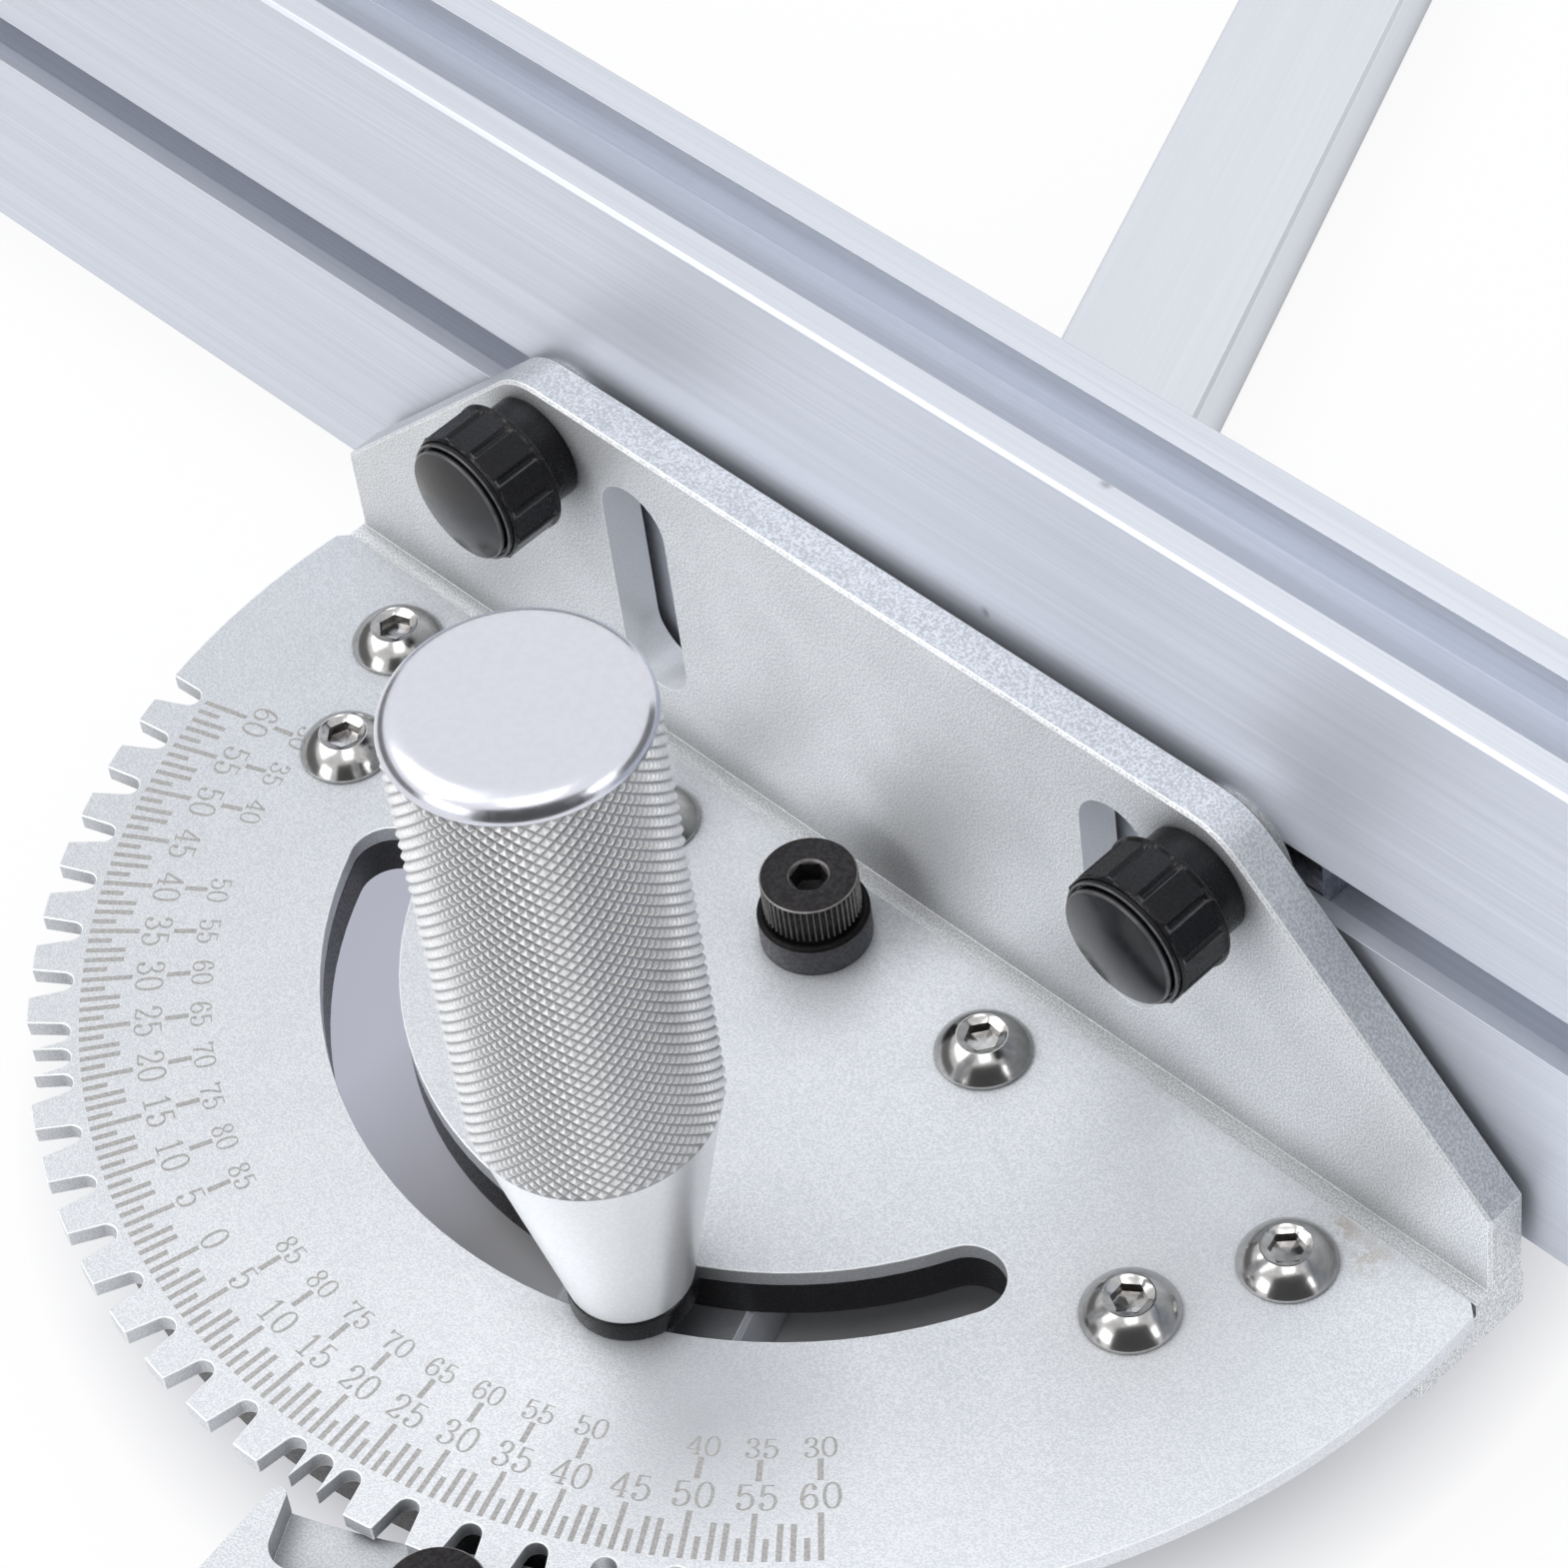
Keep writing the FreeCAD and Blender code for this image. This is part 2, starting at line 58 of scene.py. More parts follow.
def put(tree, kind, inputs=None, **settings):
    """Adds a node; an input is a value or another node's socket."""
    node = tree.nodes.new(kind)
    for name, value in settings.items():
        setattr(node, name, value)
    for name, value in (inputs or {}).items():
        if isinstance(value, bpy.types.NodeSocket):
            tree.links.new(value, node.inputs[name])
        else:
            node.inputs[name].default_value = value
    return node


def maths(tree, operation, first, second=0.0, clamp=False):
    return put(tree, "ShaderNodeMath", {0: first, 1: second}, operation=operation, use_clamp=clamp).outputs[0]


def spread(tree, value, low, high, out_low, out_high):
    """Maps a value's range to another, held at its ends."""
    return put(tree, "ShaderNodeMapRange", {"Value": value, "From Min": low, "From Max": high,
                                            "To Min": out_low, "To Max": out_high}).outputs[0]


def noise(tree, vector, scale, detail=2.0, roughness=0.5):
    return put(tree, "ShaderNodeTexNoise", {"Vector": vector, "Scale": scale, "Detail": detail,
                                            "Roughness": roughness}).outputs["Fac"]


def mixed(tree, factor, first, second, blend="MIX"):
    """Mixes two colours; the node's colour sockets have the numbers 6 and 7."""
    return put(tree, "ShaderNodeMix", {0: factor, 6: first, 7: second}, data_type="RGBA",
               blend_type=blend).outputs[2]


def new_group(name, inputs, outputs):
    """Shader group with an input node's sockets and an output node."""
    tree = bpy.data.node_groups.new(name, "ShaderNodeTree")
    for socket, kind, value in inputs:
        made = tree.interface.new_socket(name=socket, in_out="INPUT", socket_type=kind)
        made.default_value = value
    for socket, kind in outputs:
        tree.interface.new_socket(name=socket, in_out="OUTPUT", socket_type=kind)
    return tree, tree.nodes.new("NodeGroupInput").outputs, tree.nodes.new("NodeGroupOutput").inputs


def blasted_grain():
    """Fine pitting of a bead-blasted face: lighter and darker specks, and their height."""
    tree, given, out = new_group(
        "Blasted grain",
        [("Vector", "NodeSocketVector", (0, 0, 0)), ("Scale", "NodeSocketFloat", 2500.0)],
        [("Tone", "NodeSocketFloat"), ("Height", "NodeSocketFloat")])
    fine = spread(tree, noise(tree, given["Vector"], given["Scale"], 1.0, 0.6), 0.30, 0.70, 0.0, 1.0)
    cloud = noise(tree, given["Vector"], maths(tree, "MULTIPLY", given["Scale"], 0.025), 2.0)
    tone = maths(tree, "ADD", maths(tree, "MULTIPLY", fine, 0.75), maths(tree, "MULTIPLY", cloud, 0.25))
    tree.links.new(tone, out["Tone"])
    tree.links.new(fine, out["Height"])
    return tree


def drawn_streaks():
    """Long fine lines along one direction, as drawing, grinding or brushing leaves them."""
    tree, given, out = new_group(
        "Drawn streaks",
        [("Vector", "NodeSocketVector", (0, 0, 0)), ("Stretch", "NodeSocketVector", (1, 1, 1))],
        [("Tone", "NodeSocketFloat"), ("Height", "NodeSocketFloat")])
    stretched = put(tree, "ShaderNodeVectorMath", {0: given["Vector"], 1: given["Stretch"]},
                    operation="MULTIPLY").outputs[0]
    wide = noise(tree, stretched, 0.15, 1.0)
    fine = noise(tree, stretched, 1.0, 2.0, 0.65)
    tone = maths(tree, "ADD", maths(tree, "MULTIPLY", wide, 0.35), maths(tree, "MULTIPLY", fine, 0.65))
    tree.links.new(tone, out["Tone"])
    tree.links.new(fine, out["Height"])
    return tree


def worn_rim():
    """Mask of the marked edges, broken by noise, where a finish paints its rim colour: painted highlights,
    and painted shade where that colour is dark.
    """
    tree, given, out = new_group(
        "Painted rim",
        [("Vector", "NodeSocketVector", (0, 0, 0)), ("Amount", "NodeSocketFloat", 0.7)],
        [("Mask", "NodeSocketFloat")])
    rim = put(tree, "ShaderNodeAttribute", attribute_name="rim").outputs["Fac"]
    broken = spread(tree, noise(tree, given["Vector"], 900.0, 3.0), 0.35, 0.65, 0.6, 1.0)
    mask = maths(tree, "MULTIPLY", maths(tree, "MULTIPLY", rim, broken), given["Amount"], True)
    tree.links.new(mask, out["Mask"])
    return tree


def stain():
    """Mask of one ragged spot about a place, for marks and for spots of painted shade."""
    tree, given, out = new_group(
        "Spot",
        [("Vector", "NodeSocketVector", (0, 0, 0)), ("Place", "NodeSocketVector", (0, 0, 0)),
         ("Reach", "NodeSocketFloat", 0.004), ("Strength", "NodeSocketFloat", 0.4),
         ("Ragged", "NodeSocketFloat", 1.0)],
        [("Mask", "NodeSocketFloat")])
    away = put(tree, "ShaderNodeVectorMath", {0: given["Vector"], 1: given["Place"]},
               operation="DISTANCE").outputs["Value"]
    near = maths(tree, "SUBTRACT", 1.0, maths(tree, "DIVIDE", away, given["Reach"]), True)
    torn = spread(tree, noise(tree, given["Vector"], 700.0, 4.0, 0.7), 0.42, 0.58, 0.0, 1.0)
    torn = maths(tree, "SUBTRACT", 1.0, maths(tree, "MULTIPLY", given["Ragged"],
                                              maths(tree, "SUBTRACT", 1.0, torn)), True)
    mask = maths(tree, "MULTIPLY", maths(tree, "MULTIPLY", near, torn), given["Strength"], True)
    tree.links.new(mask, out["Mask"])
    return tree


GRAIN = blasted_grain()
STREAKS = drawn_streaks()
RIM = worn_rim()
SPOT_GROUP = stain()


def finish(name, tones, roughness, metallic=1.0, grain=None, streaks=None, turn=0.0, bump=0.3,
           rim=None, rim_amount=0.95, stains_and_shade=(), spread_roughness=0.08, hollow=None,
           specular=0.5, corner_shade=None, painted_light_along_x=None):
    """Material of one finish.

    tones are its dark and light colours, mixed by its grain, or by its streaks turned about Z; stains are
    (place, reach, strength, raggedness, colour) of marks, and of spots of painted shade; hollow is
    (x, y, deep radius, outer radius, shade) of a side whose deep places are darkened as painted shade;
    crevice is the tone of the painted shade in a corner; painted_light_along_x is the gain of the tone at
    PAINTED_LIGHT_SIDE to the left and to the right, a painted light; rim is the colour of the marked edges:
    painted highlights, and painted shade where that colour is dark.
    """
    material = bpy.data.materials.new(name)
    material.use_nodes = True
    tree = material.node_tree
    shader = tree.nodes["Principled BSDF"]
    shader.inputs["Metallic"].default_value = metallic
    shader.inputs["Specular IOR Level"].default_value = specular
    place = tree.nodes.new("ShaderNodeTexCoord").outputs["Object"]
    if streaks:
        along = put(tree, "ShaderNodeMapping", {"Vector": place, "Rotation": (0, 0, math.radians(turn))},
                    vector_type="POINT").outputs[0]
        node = put(tree, "ShaderNodeGroup", {"Vector": along, "Stretch": streaks}, node_tree=STREAKS)
    else:
        node = put(tree, "ShaderNodeGroup", {"Vector": place, "Scale": grain}, node_tree=GRAIN)
    tone, height = node.outputs["Tone"], node.outputs["Height"]
    level = spread(tree, tone, 0.3, 0.7, 0.0, 1.0)
    colour = mixed(tree, level, (*tones[0], 1), (*tones[1], 1))
    rough = spread(tree, tone, 0.3, 0.7, roughness + spread_roughness, roughness - spread_roughness)
    # painted shade: the colour darkens towards the deep places of the side
    if hollow:
        x, y, deep, outer, shade = hollow
        off = put(tree, "ShaderNodeVectorMath", {0: place, 1: (x, y, 0)}, operation="SUBTRACT").outputs[0]
        flat = put(tree, "ShaderNodeVectorMath", {0: off, 1: (1, 1, 0)}, operation="MULTIPLY").outputs[0]
        away = put(tree, "ShaderNodeVectorMath", {0: flat}, operation="LENGTH").outputs["Value"]
        colour = mixed(tree, spread(tree, away, deep, outer, 1.0, 0.0), colour, (*shade, 1))
    # each spot mixes in its colour; the plate's last one is painted shade
    for spot, reach, strength, ragged, tint in stains_and_shade:
        node = put(tree, "ShaderNodeGroup", {"Vector": place, "Place": spot, "Reach": reach,
                                             "Strength": strength, "Ragged": ragged}, node_tree=SPOT_GROUP)
        colour = mixed(tree, node.outputs["Mask"], colour, (*tint, 1))
    # painted light: the colour is darker to the left and lighter to the right along X
    if painted_light_along_x:
        left, right = painted_light_along_x
        x = put(tree, "ShaderNodeSeparateXYZ", {0: place}).outputs[0]
        side = spread(tree, x, -PAINTED_LIGHT_SIDE, PAINTED_LIGHT_SIDE, 0.0, 1.0)
        gain = mixed(tree, side, (left, left, left, 1), (right, right, right, 1))
        colour = mixed(tree, 1.0, colour, gain, "MULTIPLY")
    # painted shade: ambient occlusion darkens the colour in corners, under parts and in narrow slots
    if corner_shade:
        around = put(tree, "ShaderNodeAmbientOcclusion", {"Distance": CORNER_SHADE_REACH}, samples=4)
        open_share = spread(tree, around.outputs["AO"], 0.25, 0.80, 0.0, 1.0)
        gain = mixed(tree, open_share, (corner_shade, corner_shade, corner_shade, 1), (1, 1, 1, 1))
        colour = mixed(tree, 1.0, colour, gain, "MULTIPLY")
    # painted highlight on the marked edges; where the rim colour is dark, painted shade
    if rim:
        node = put(tree, "ShaderNodeGroup", {"Vector": place, "Amount": rim_amount}, node_tree=RIM)
        colour = mixed(tree, node.outputs["Mask"], colour, (*rim, 1))
    tree.links.new(colour, shader.inputs["Base Color"])
    tree.links.new(rough, shader.inputs["Roughness"])
    relief = put(tree, "ShaderNodeBump", {"Height": height, "Strength": bump, "Distance": 0.05 * MM})
    tree.links.new(relief.outputs[0], shader.inputs["Normal"])
    return material


TAN = (0.42, 0.36, 0.30)
HANDLE = (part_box("handle_grip")[0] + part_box("handle_grip")[1]) / 2
# The plate's last spot is painted shade, a soft darkening below the handle
# painted_light_along_x paints light on the finishes that have it: darker at the left, lighter at the right
MATERIALS = {
    "plate": finish("Blasted plate", ((0.58, 0.60, 0.63), (0.715, 0.73, 0.755)), 0.50, metallic=0.65,
                    grain=5400.0, rim=(0.90, 0.91, 0.92), bump=0.22, spread_roughness=0.04,
                    corner_shade=0.36, painted_light_along_x=(0.91, 1.17),
                    stains_and_shade=[((0.0644, 0.0062, 0.016), 0.0028, 0.75, 1.0, TAN),
                            ((0.0684, 0.0052, 0.016), 0.0030, 0.65, 1.0, TAN),
                            ((0.0553, -0.0140, 0.016), 0.0140, 0.22, 0.3, (0.62, 0.58, 0.54)),
                            ((0.0339, -0.0499, 0.016), 0.0170, 0.75, 0.0, (0.40, 0.41, 0.43))]),
    "bracket": finish("Blasted bracket", ((0.48, 0.495, 0.51), (0.77, 0.78, 0.795)), 0.50, metallic=0.6,
                      grain=4900.0, rim=(0.93, 0.94, 0.95), bump=0.30, spread_roughness=0.05,
                      corner_shade=0.45, painted_light_along_x=(0.98, 1.16)),
    "window": finish("Milled window", ((0.82, 0.83, 0.85), (0.88, 0.89, 0.91)), 0.36, metallic=0.45,
                     grain=3900.0, rim=(0.95, 0.96, 0.97), bump=0.06, spread_roughness=0.03),
    "rough_edge": finish("Coarse milled edge", ((0.45, 0.465, 0.49), (0.64, 0.655, 0.685)), 0.45,
                         metallic=0.65, grain=3700.0, rim=(0.93, 0.94, 0.95), bump=0.35,
                         spread_roughness=0.05, painted_light_along_x=(1.0, 1.12)),
    "fence": finish("Brushed extrusion", ((0.55, 0.58, 0.64), (0.65, 0.68, 0.745)), 0.46, metallic=0.65,
                    streaks=(10.0, 2200.0, 2200.0), rim=(0.80, 0.81, 0.85), bump=0.10, spread_roughness=0.03,
                    painted_light_along_x=(1.0, 1.10),
                    stains_and_shade=[((0.0275, 0.0187, 0.0828), 0.0009, 0.9, 0.5, (0.12, 0.12, 0.13)),
                            ((0.0129, 0.0155, 0.0588), 0.0008, 0.9, 0.5, (0.12, 0.12, 0.13))]),
    "bar": finish("Ground bar", ((0.67, 0.695, 0.745), (0.71, 0.735, 0.785)), 0.46, metallic=0.65,
                  streaks=(2200.0, 24.0, 2200.0), turn=-BAR_BEARING, rim=(0.92, 0.93, 0.96), bump=0.06,
                  spread_roughness=0.02, corner_shade=0.18),
    "pawl": finish("Blasted pawl", ((0.58, 0.60, 0.63), (0.715, 0.73, 0.755)), 0.50, metallic=0.65,
                   grain=4300.0, rim=(0.90, 0.91, 0.92), bump=0.22, spread_roughness=0.04, corner_shade=0.45),
    "spacer": finish("Black plate", ((0.009, 0.009, 0.010), (0.018, 0.018, 0.020)), 0.40, metallic=0.0,
                     grain=3500.0, bump=0.2),
    # its rim is painted shade on the walls of the hex socket
    "stainless": finish("Polished stainless", ((0.42, 0.415, 0.41), (0.48, 0.475, 0.47)), 0.18,
                        grain=1500.0, bump=0.02, spread_roughness=0.02, rim=(0.10, 0.085, 0.08)),
    "black_screw": finish("Blacked steel", ((0.012, 0.010, 0.011), (0.024, 0.022, 0.024)), 0.42,
                          metallic=0.3, grain=2600.0, rim=(0.26, 0.25, 0.24), rim_amount=0.9, bump=0.15,
                          specular=0.28),
    "collar": finish("Blacked collar", ((0.030, 0.029, 0.033), (0.050, 0.049, 0.055)), 0.40,
                     metallic=0.3, grain=2600.0, bump=0.10),
    "lip": finish("Collar lip", ((0.004, 0.004, 0.004), (0.006, 0.006, 0.006)), 0.45, metallic=0.0,
                  grain=2600.0, bump=0.05, specular=0.12),
    "knob": finish("Moulded black", ((0.004, 0.004, 0.005), (0.007, 0.007, 0.008)), 0.28,
                   metallic=0.0, grain=3500.0, bump=0.06, spread_roughness=0.03, rim=(0.11, 0.11, 0.115),
                   specular=0.26),
    "cap": finish("Glossy black cap", ((0.005, 0.005, 0.006), (0.008, 0.008, 0.010)), 0.20,
                  metallic=0.0, grain=1400.0, bump=0.02, spread_roughness=0.03, specular=0.40,
                  rim=(0.09, 0.09, 0.095)),
    "turned": finish("Satin turned cone", ((0.87, 0.875, 0.88), (0.92, 0.925, 0.93)), 0.34, metallic=0.8,
                     grain=2500.0, bump=0.04, spread_roughness=0.02),
    # the knurl's hollows get painted shade
    "knurled": finish("Knurled grip", ((0.76, 0.76, 0.77), (0.90, 0.90, 0.905)), 0.34, metallic=0.75,
                      grain=3500.0, bump=0.06, spread_roughness=0.03,
                      hollow=(HANDLE.x, HANDLE.y, 11.92 * MM, 12.06 * MM, (0.38, 0.38, 0.385))),
    "crown": finish("Satin crown", ((0.68, 0.69, 0.76), (0.70, 0.71, 0.78)), 0.22, grain=1200.0,
                    bump=0.01, spread_roughness=0.02),
    "zinc": finish("Zinc plated bolt", ((0.42, 0.43, 0.46), (0.60, 0.61, 0.64)), 0.30, grain=1500.0,
                   bump=0.2),
    "brass": finish("Brass insert", ((0.50, 0.36, 0.16), (0.68, 0.52, 0.26)), 0.30, grain=1500.0,
                    bump=0.2),
    "mark": finish("Etched mark", ((0.31, 0.30, 0.295), (0.41, 0.40, 0.39)), 0.60, metallic=0.0,
                   grain=3500.0, bump=0.2),
}


# Meshes

def as_object(name, mesh, *materials):
    obj = bpy.data.objects.new(name, mesh)
    bpy.context.scene.collection.objects.link(obj)
    for material in materials:
        mesh.materials.append(MATERIALS[material])
    return obj


def plain(shape, name):
    """Mesh of a bmesh, which is used up."""
    mesh = bpy.data.meshes.new(name)
    shape.to_mesh(mesh)
    shape.free()
    return mesh


def evaluated(obj):
    """The object's mesh with its modifiers done; the modifiers are removed."""
    graph = bpy.context.evaluated_depsgraph_get()
    mesh = bpy.data.meshes.new_from_object(obj.evaluated_get(graph), depsgraph=graph)
    obj.modifiers.clear()
    obj.data = mesh
    return mesh


def discard(obj):
    bpy.data.objects.remove(obj)


def place_on(obj, body, slot, *nodes):
    """Rides the piece on a body, in place of the nodes that it stands for."""
    if nodes:
        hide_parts(*nodes)
    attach(obj, body)
    return obj


def smooth(mesh, angle=32):
    mesh.shade_smooth()
    mesh.set_sharp_from_angle(angle=math.radians(angle))


def softened(node, name, edge, material):
    """Piece with a CAD node's shape, its sharp edges rounded and marked as rim."""
    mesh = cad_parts[node].data.copy()
    mesh.materials.clear()
    shape = bmesh.new()
    shape.from_mesh(mesh)
    bmesh.ops.remove_doubles(shape, verts=shape.verts, dist=1e-6)
    bmesh.ops.dissolve_limit(shape, angle_limit=math.radians(1), verts=shape.verts, edges=shape.edges)
    shape.to_mesh(mesh)
    shape.free()
    smooth(mesh)
    obj = as_object(name, mesh, material, material)
    bevel = obj.modifiers.new("Edge", "BEVEL")
    bevel.width = edge
    bevel.segments = 2
    bevel.limit_method = "ANGLE"
    bevel.angle_limit = math.radians(32)
    bevel.harden_normals = True
    bevel.material = 1
    mesh = evaluated(obj)
    # the bevel faces are marked as rim, which the finish paints as a highlight
    rim = mesh.attributes.new("rim", "FLOAT", "FACE")
    for face in mesh.polygons:
        rim.data[face.index].value = face.material_index
        face.material_index = 0
    mesh.materials.pop(index=1)
    return obj


def turned(rings, segments=96):
    """Mesh turned about Z; a ring is a radius, or a function that gives it from the turn, and a height."""
    shape = bmesh.new()
    below = None
    for radius, height in rings:
        ring = []
        if radius == 0:
            ring.append(shape.verts.new((0, 0, height)))
        else:
            for step in range(segments):
                turn = 2 * math.pi * step / segments
                reach = radius(turn) if callable(radius) else radius
                ring.append(shape.verts.new((reach * math.cos(turn), reach * math.sin(turn), height)))
        if below:
            for step in range(segments):
                after = (step + 1) % segments
                if len(below) == 1:
                    shape.faces.new((below[0], ring[after], ring[step]))
                elif len(ring) == 1:
                    shape.faces.new((below[step], below[after], ring[0]))
                else:
                    shape.faces.new((below[step], below[after], ring[after], ring[step]))
        below = ring
    bmesh.ops.recalc_face_normals(shape, faces=shape.faces)
    return shape


def turned_ring(section):
    """Mesh of a closed section turned about Z."""
    shape = turned(section + [section[0]], 96)
    bmesh.ops.remove_doubles(shape, verts=shape.verts, dist=1e-7)
    bmesh.ops.recalc_face_normals(shape, faces=shape.faces)
    return shape


def eased(*points):
    """Section of radius and height in which a third number eases that corner."""
    section = []
    for index, point in enumerate(points):
        if len(point) == 2:
            section.append(tuple(point))
            continue
        corner = Vector(point[:2])
        before = (Vector(points[index - 1][:2]) - corner).normalized() * point[2]
        after = (Vector(points[(index + 1) % len(points)][:2]) - corner).normalized() * point[2]
        for step in range(5):
            t = step / 4
            section.append(tuple(corner + before * (1 - t) ** 2 + after * t ** 2))
    return section


def arc(start, middle, end, steps):
    """Points on the arc through three points, without its first."""
    (ax, ay), (bx, by), (cx, cy) = start, middle, end
    d = 2 * (ax * (by - cy) + bx * (cy - ay) + cx * (ay - by))
    squares = [x * x + y * y for x, y in (start, middle, end)]
    ux = (squares[0] * (by - cy) + squares[1] * (cy - ay) + squares[2] * (ay - by)) / d
    uy = (squares[0] * (cx - bx) + squares[1] * (ax - cx) + squares[2] * (bx - ax)) / d
    radius = math.hypot(ax - ux, ay - uy)
    first = math.atan2(ay - uy, ax - ux)
    sweep = math.atan2(cy - uy, cx - ux) - first
    sweep = (sweep + math.pi) % (2 * math.pi) - math.pi
    turns = [first + sweep * k / steps for k in range(1, steps + 1)]
    return [(ux + radius * math.cos(turn), uy + radius * math.sin(turn)) for turn in turns]


def hexed(flats):
    """Radius of a hexagon at a turn."""
    def radius(turn):
        off = (turn + math.pi / 6) % (math.pi / 3) - math.pi / 6
        return flats / 2 / math.cos(off)
    return radius


def joined(name, parts, materials):
    """One piece of (bmesh, matrix, material number) parts, each used up."""
    whole = bmesh.new()
    for shape, matrix, number in parts:
        shape.transform(matrix)
        for face in shape.faces:
            face.material_index = number
        part = plain(shape, "part")
        whole.from_mesh(part)
        bpy.data.meshes.remove(part)
    mesh = plain(whole, name)
    smooth(mesh)
    return as_object(name, mesh, *materials)


def mark_rim(obj, inside):
    """Marks faces as rim, wholly or in part, by a test of each face."""
    rim = obj.data.attributes.new("rim", "FLOAT", "FACE")
    for face in obj.data.polygons:
        rim.data[face.index].value = float(inside(face))


# Geometry node trees

def tree_with(name, inputs):
    tree = bpy.data.node_groups.new(name, "GeometryNodeTree")
    for socket, kind in inputs:
        tree.interface.new_socket(name=socket, in_out="INPUT", socket_type=kind)
    tree.interface.new_socket(name="Geometry", in_out="OUTPUT", socket_type="NodeSocketGeometry")
    return tree, tree.nodes.new("NodeGroupInput").outputs, tree.nodes.new("NodeGroupOutput").inputs


def copy_part(tree, given, out, points, turn):
    """Ends a tree with real copies of its part at points, each turned about Z."""
    spin = put(tree, "FunctionNodeEulerToRotation",
               {0: put(tree, "ShaderNodeCombineXYZ", {"Z": turn}).outputs[0]})
    part = put(tree, "GeometryNodeObjectInfo", {"Object": given["Part"]})
    copies = put(tree, "GeometryNodeInstanceOnPoints", {"Points": points, "Rotation": spin.outputs[0],
                                                        "Instance": part.outputs["Geometry"]})
    real = put(tree, "GeometryNodeRealizeInstances", {"Geometry": copies.outputs[0]})
    painted = put(tree, "GeometryNodeSetMaterial", {"Geometry": real.outputs[0],
                                                    "Material": given["Material"]})
    tree.links.new(painted.outputs[0], out["Geometry"])
    return tree


def rings_of_parts():
    """Copies of a part turned about Z in rings, one ring above another."""
    tree, given, out = tree_with("Rings of parts", [
        ("Geometry", "NodeSocketGeometry"), ("Part", "NodeSocketObject"), ("Around", "NodeSocketInt"),
        ("Rows", "NodeSocketInt"), ("First turn", "NodeSocketFloat"), ("Turn", "NodeSocketFloat"),
        ("Rise", "NodeSocketFloat"), ("Stagger", "NodeSocketFloat"), ("Material", "NodeSocketMaterial")])
    count = maths(tree, "MULTIPLY", given["Around"], given["Rows"])
    points = put(tree, "GeometryNodeMeshLine", {"Count": count, "Offset": (0, 0, 0)})
    index = tree.nodes.new("GeometryNodeInputIndex").outputs[0]
    row = maths(tree, "FLOOR", maths(tree, "DIVIDE", maths(tree, "ADD", index, 0.5), given["Around"]))
    column = maths(tree, "SUBTRACT", index, maths(tree, "MULTIPLY", row, given["Around"]))
    odd = maths(tree, "FLOORED_MODULO", row, 2.0)
    turn = maths(tree, "ADD", maths(tree, "MULTIPLY", column, given["Turn"]),
                 maths(tree, "MULTIPLY", odd, given["Stagger"]))
    turn = maths(tree, "ADD", turn, given["First turn"])
    height = put(tree, "ShaderNodeCombineXYZ", {"Z": maths(tree, "MULTIPLY", row, given["Rise"])})
    raised = put(tree, "GeometryNodeSetPosition", {"Geometry": points.outputs[0],
                                                   "Offset": height.outputs[0]})
    return copy_part(tree, given, out, raised.outputs[0], turn)


def parts_at_places():
    """Copies of a part at the places of another object's points, each turned on from the last."""
    tree, given, out = tree_with("Parts at places", [
        ("Geometry", "NodeSocketGeometry"), ("Part", "NodeSocketObject"), ("Turn", "NodeSocketFloat"),
        ("Material", "NodeSocketMaterial")])
    index = tree.nodes.new("GeometryNodeInputIndex").outputs[0]
    return copy_part(tree, given, out, given["Geometry"], maths(tree, "MULTIPLY", index, given["Turn"]))


RINGS = rings_of_parts()
PLACES = parts_at_places()


def grown(tree, base, **values):
    """Plain mesh that a tree makes from a base mesh and its named inputs."""
    obj = bpy.data.objects.new("grown", base)
    bpy.context.scene.collection.objects.link(obj)
    modifier = obj.modifiers.new("Tree", "NODES")
    modifier.node_group = tree
    sockets = {item.name: item.identifier for item in tree.interface.items_tree if item.in_out == "INPUT"}
    for name, value in values.items():
        modifier[sockets[name.replace("_", " ")]] = value
    mesh = evaluated(obj)
    discard(obj)
    return mesh


def rings(part, material, around, rows=1, first=0.0, turn=0.0, rise=0.0, stagger=0.0):
    base = bpy.data.meshes.new("base")
    return grown(RINGS, base, Part=part, Around=around, Rows=rows, First_turn=math.radians(first),
                 Turn=math.radians(turn), Rise=rise, Stagger=math.radians(stagger),
                 Material=MATERIALS[material])


def merged(name, meshes, material):
    whole = bmesh.new()
    for mesh in meshes:
        whole.from_mesh(mesh)
        bpy.data.meshes.remove(mesh)
    for face in whole.faces:
        face.material_index = 0
    return as_object(name, plain(whole, name), material)


# Plates, bracket, bar, fence and pawl: the CAD shapes with eased edges

place_on(softened("miter_bar", "bar", 0.12 * MM, "bar"), "base", "bar_steel", "miter_bar")
place_on(softened("head_plate", "protractor_plate", 0.14 * MM, "plate"), "head", "plate_steel", "head_plate")
place_on(softened("spacer_plate", "spacer", 0.12 * MM, "spacer"), "head", "spacer_black", "spacer_plate")
place_on(softened("fence_extrusion", "fence", 0.16 * MM, "fence"), "fence", "fence_aluminium",
         "fence_extrusion")
place_on(softened("index_pawl", "pawl", 0.16 * MM, "pawl"), "pawl", "pawl_steel", "index_pawl")


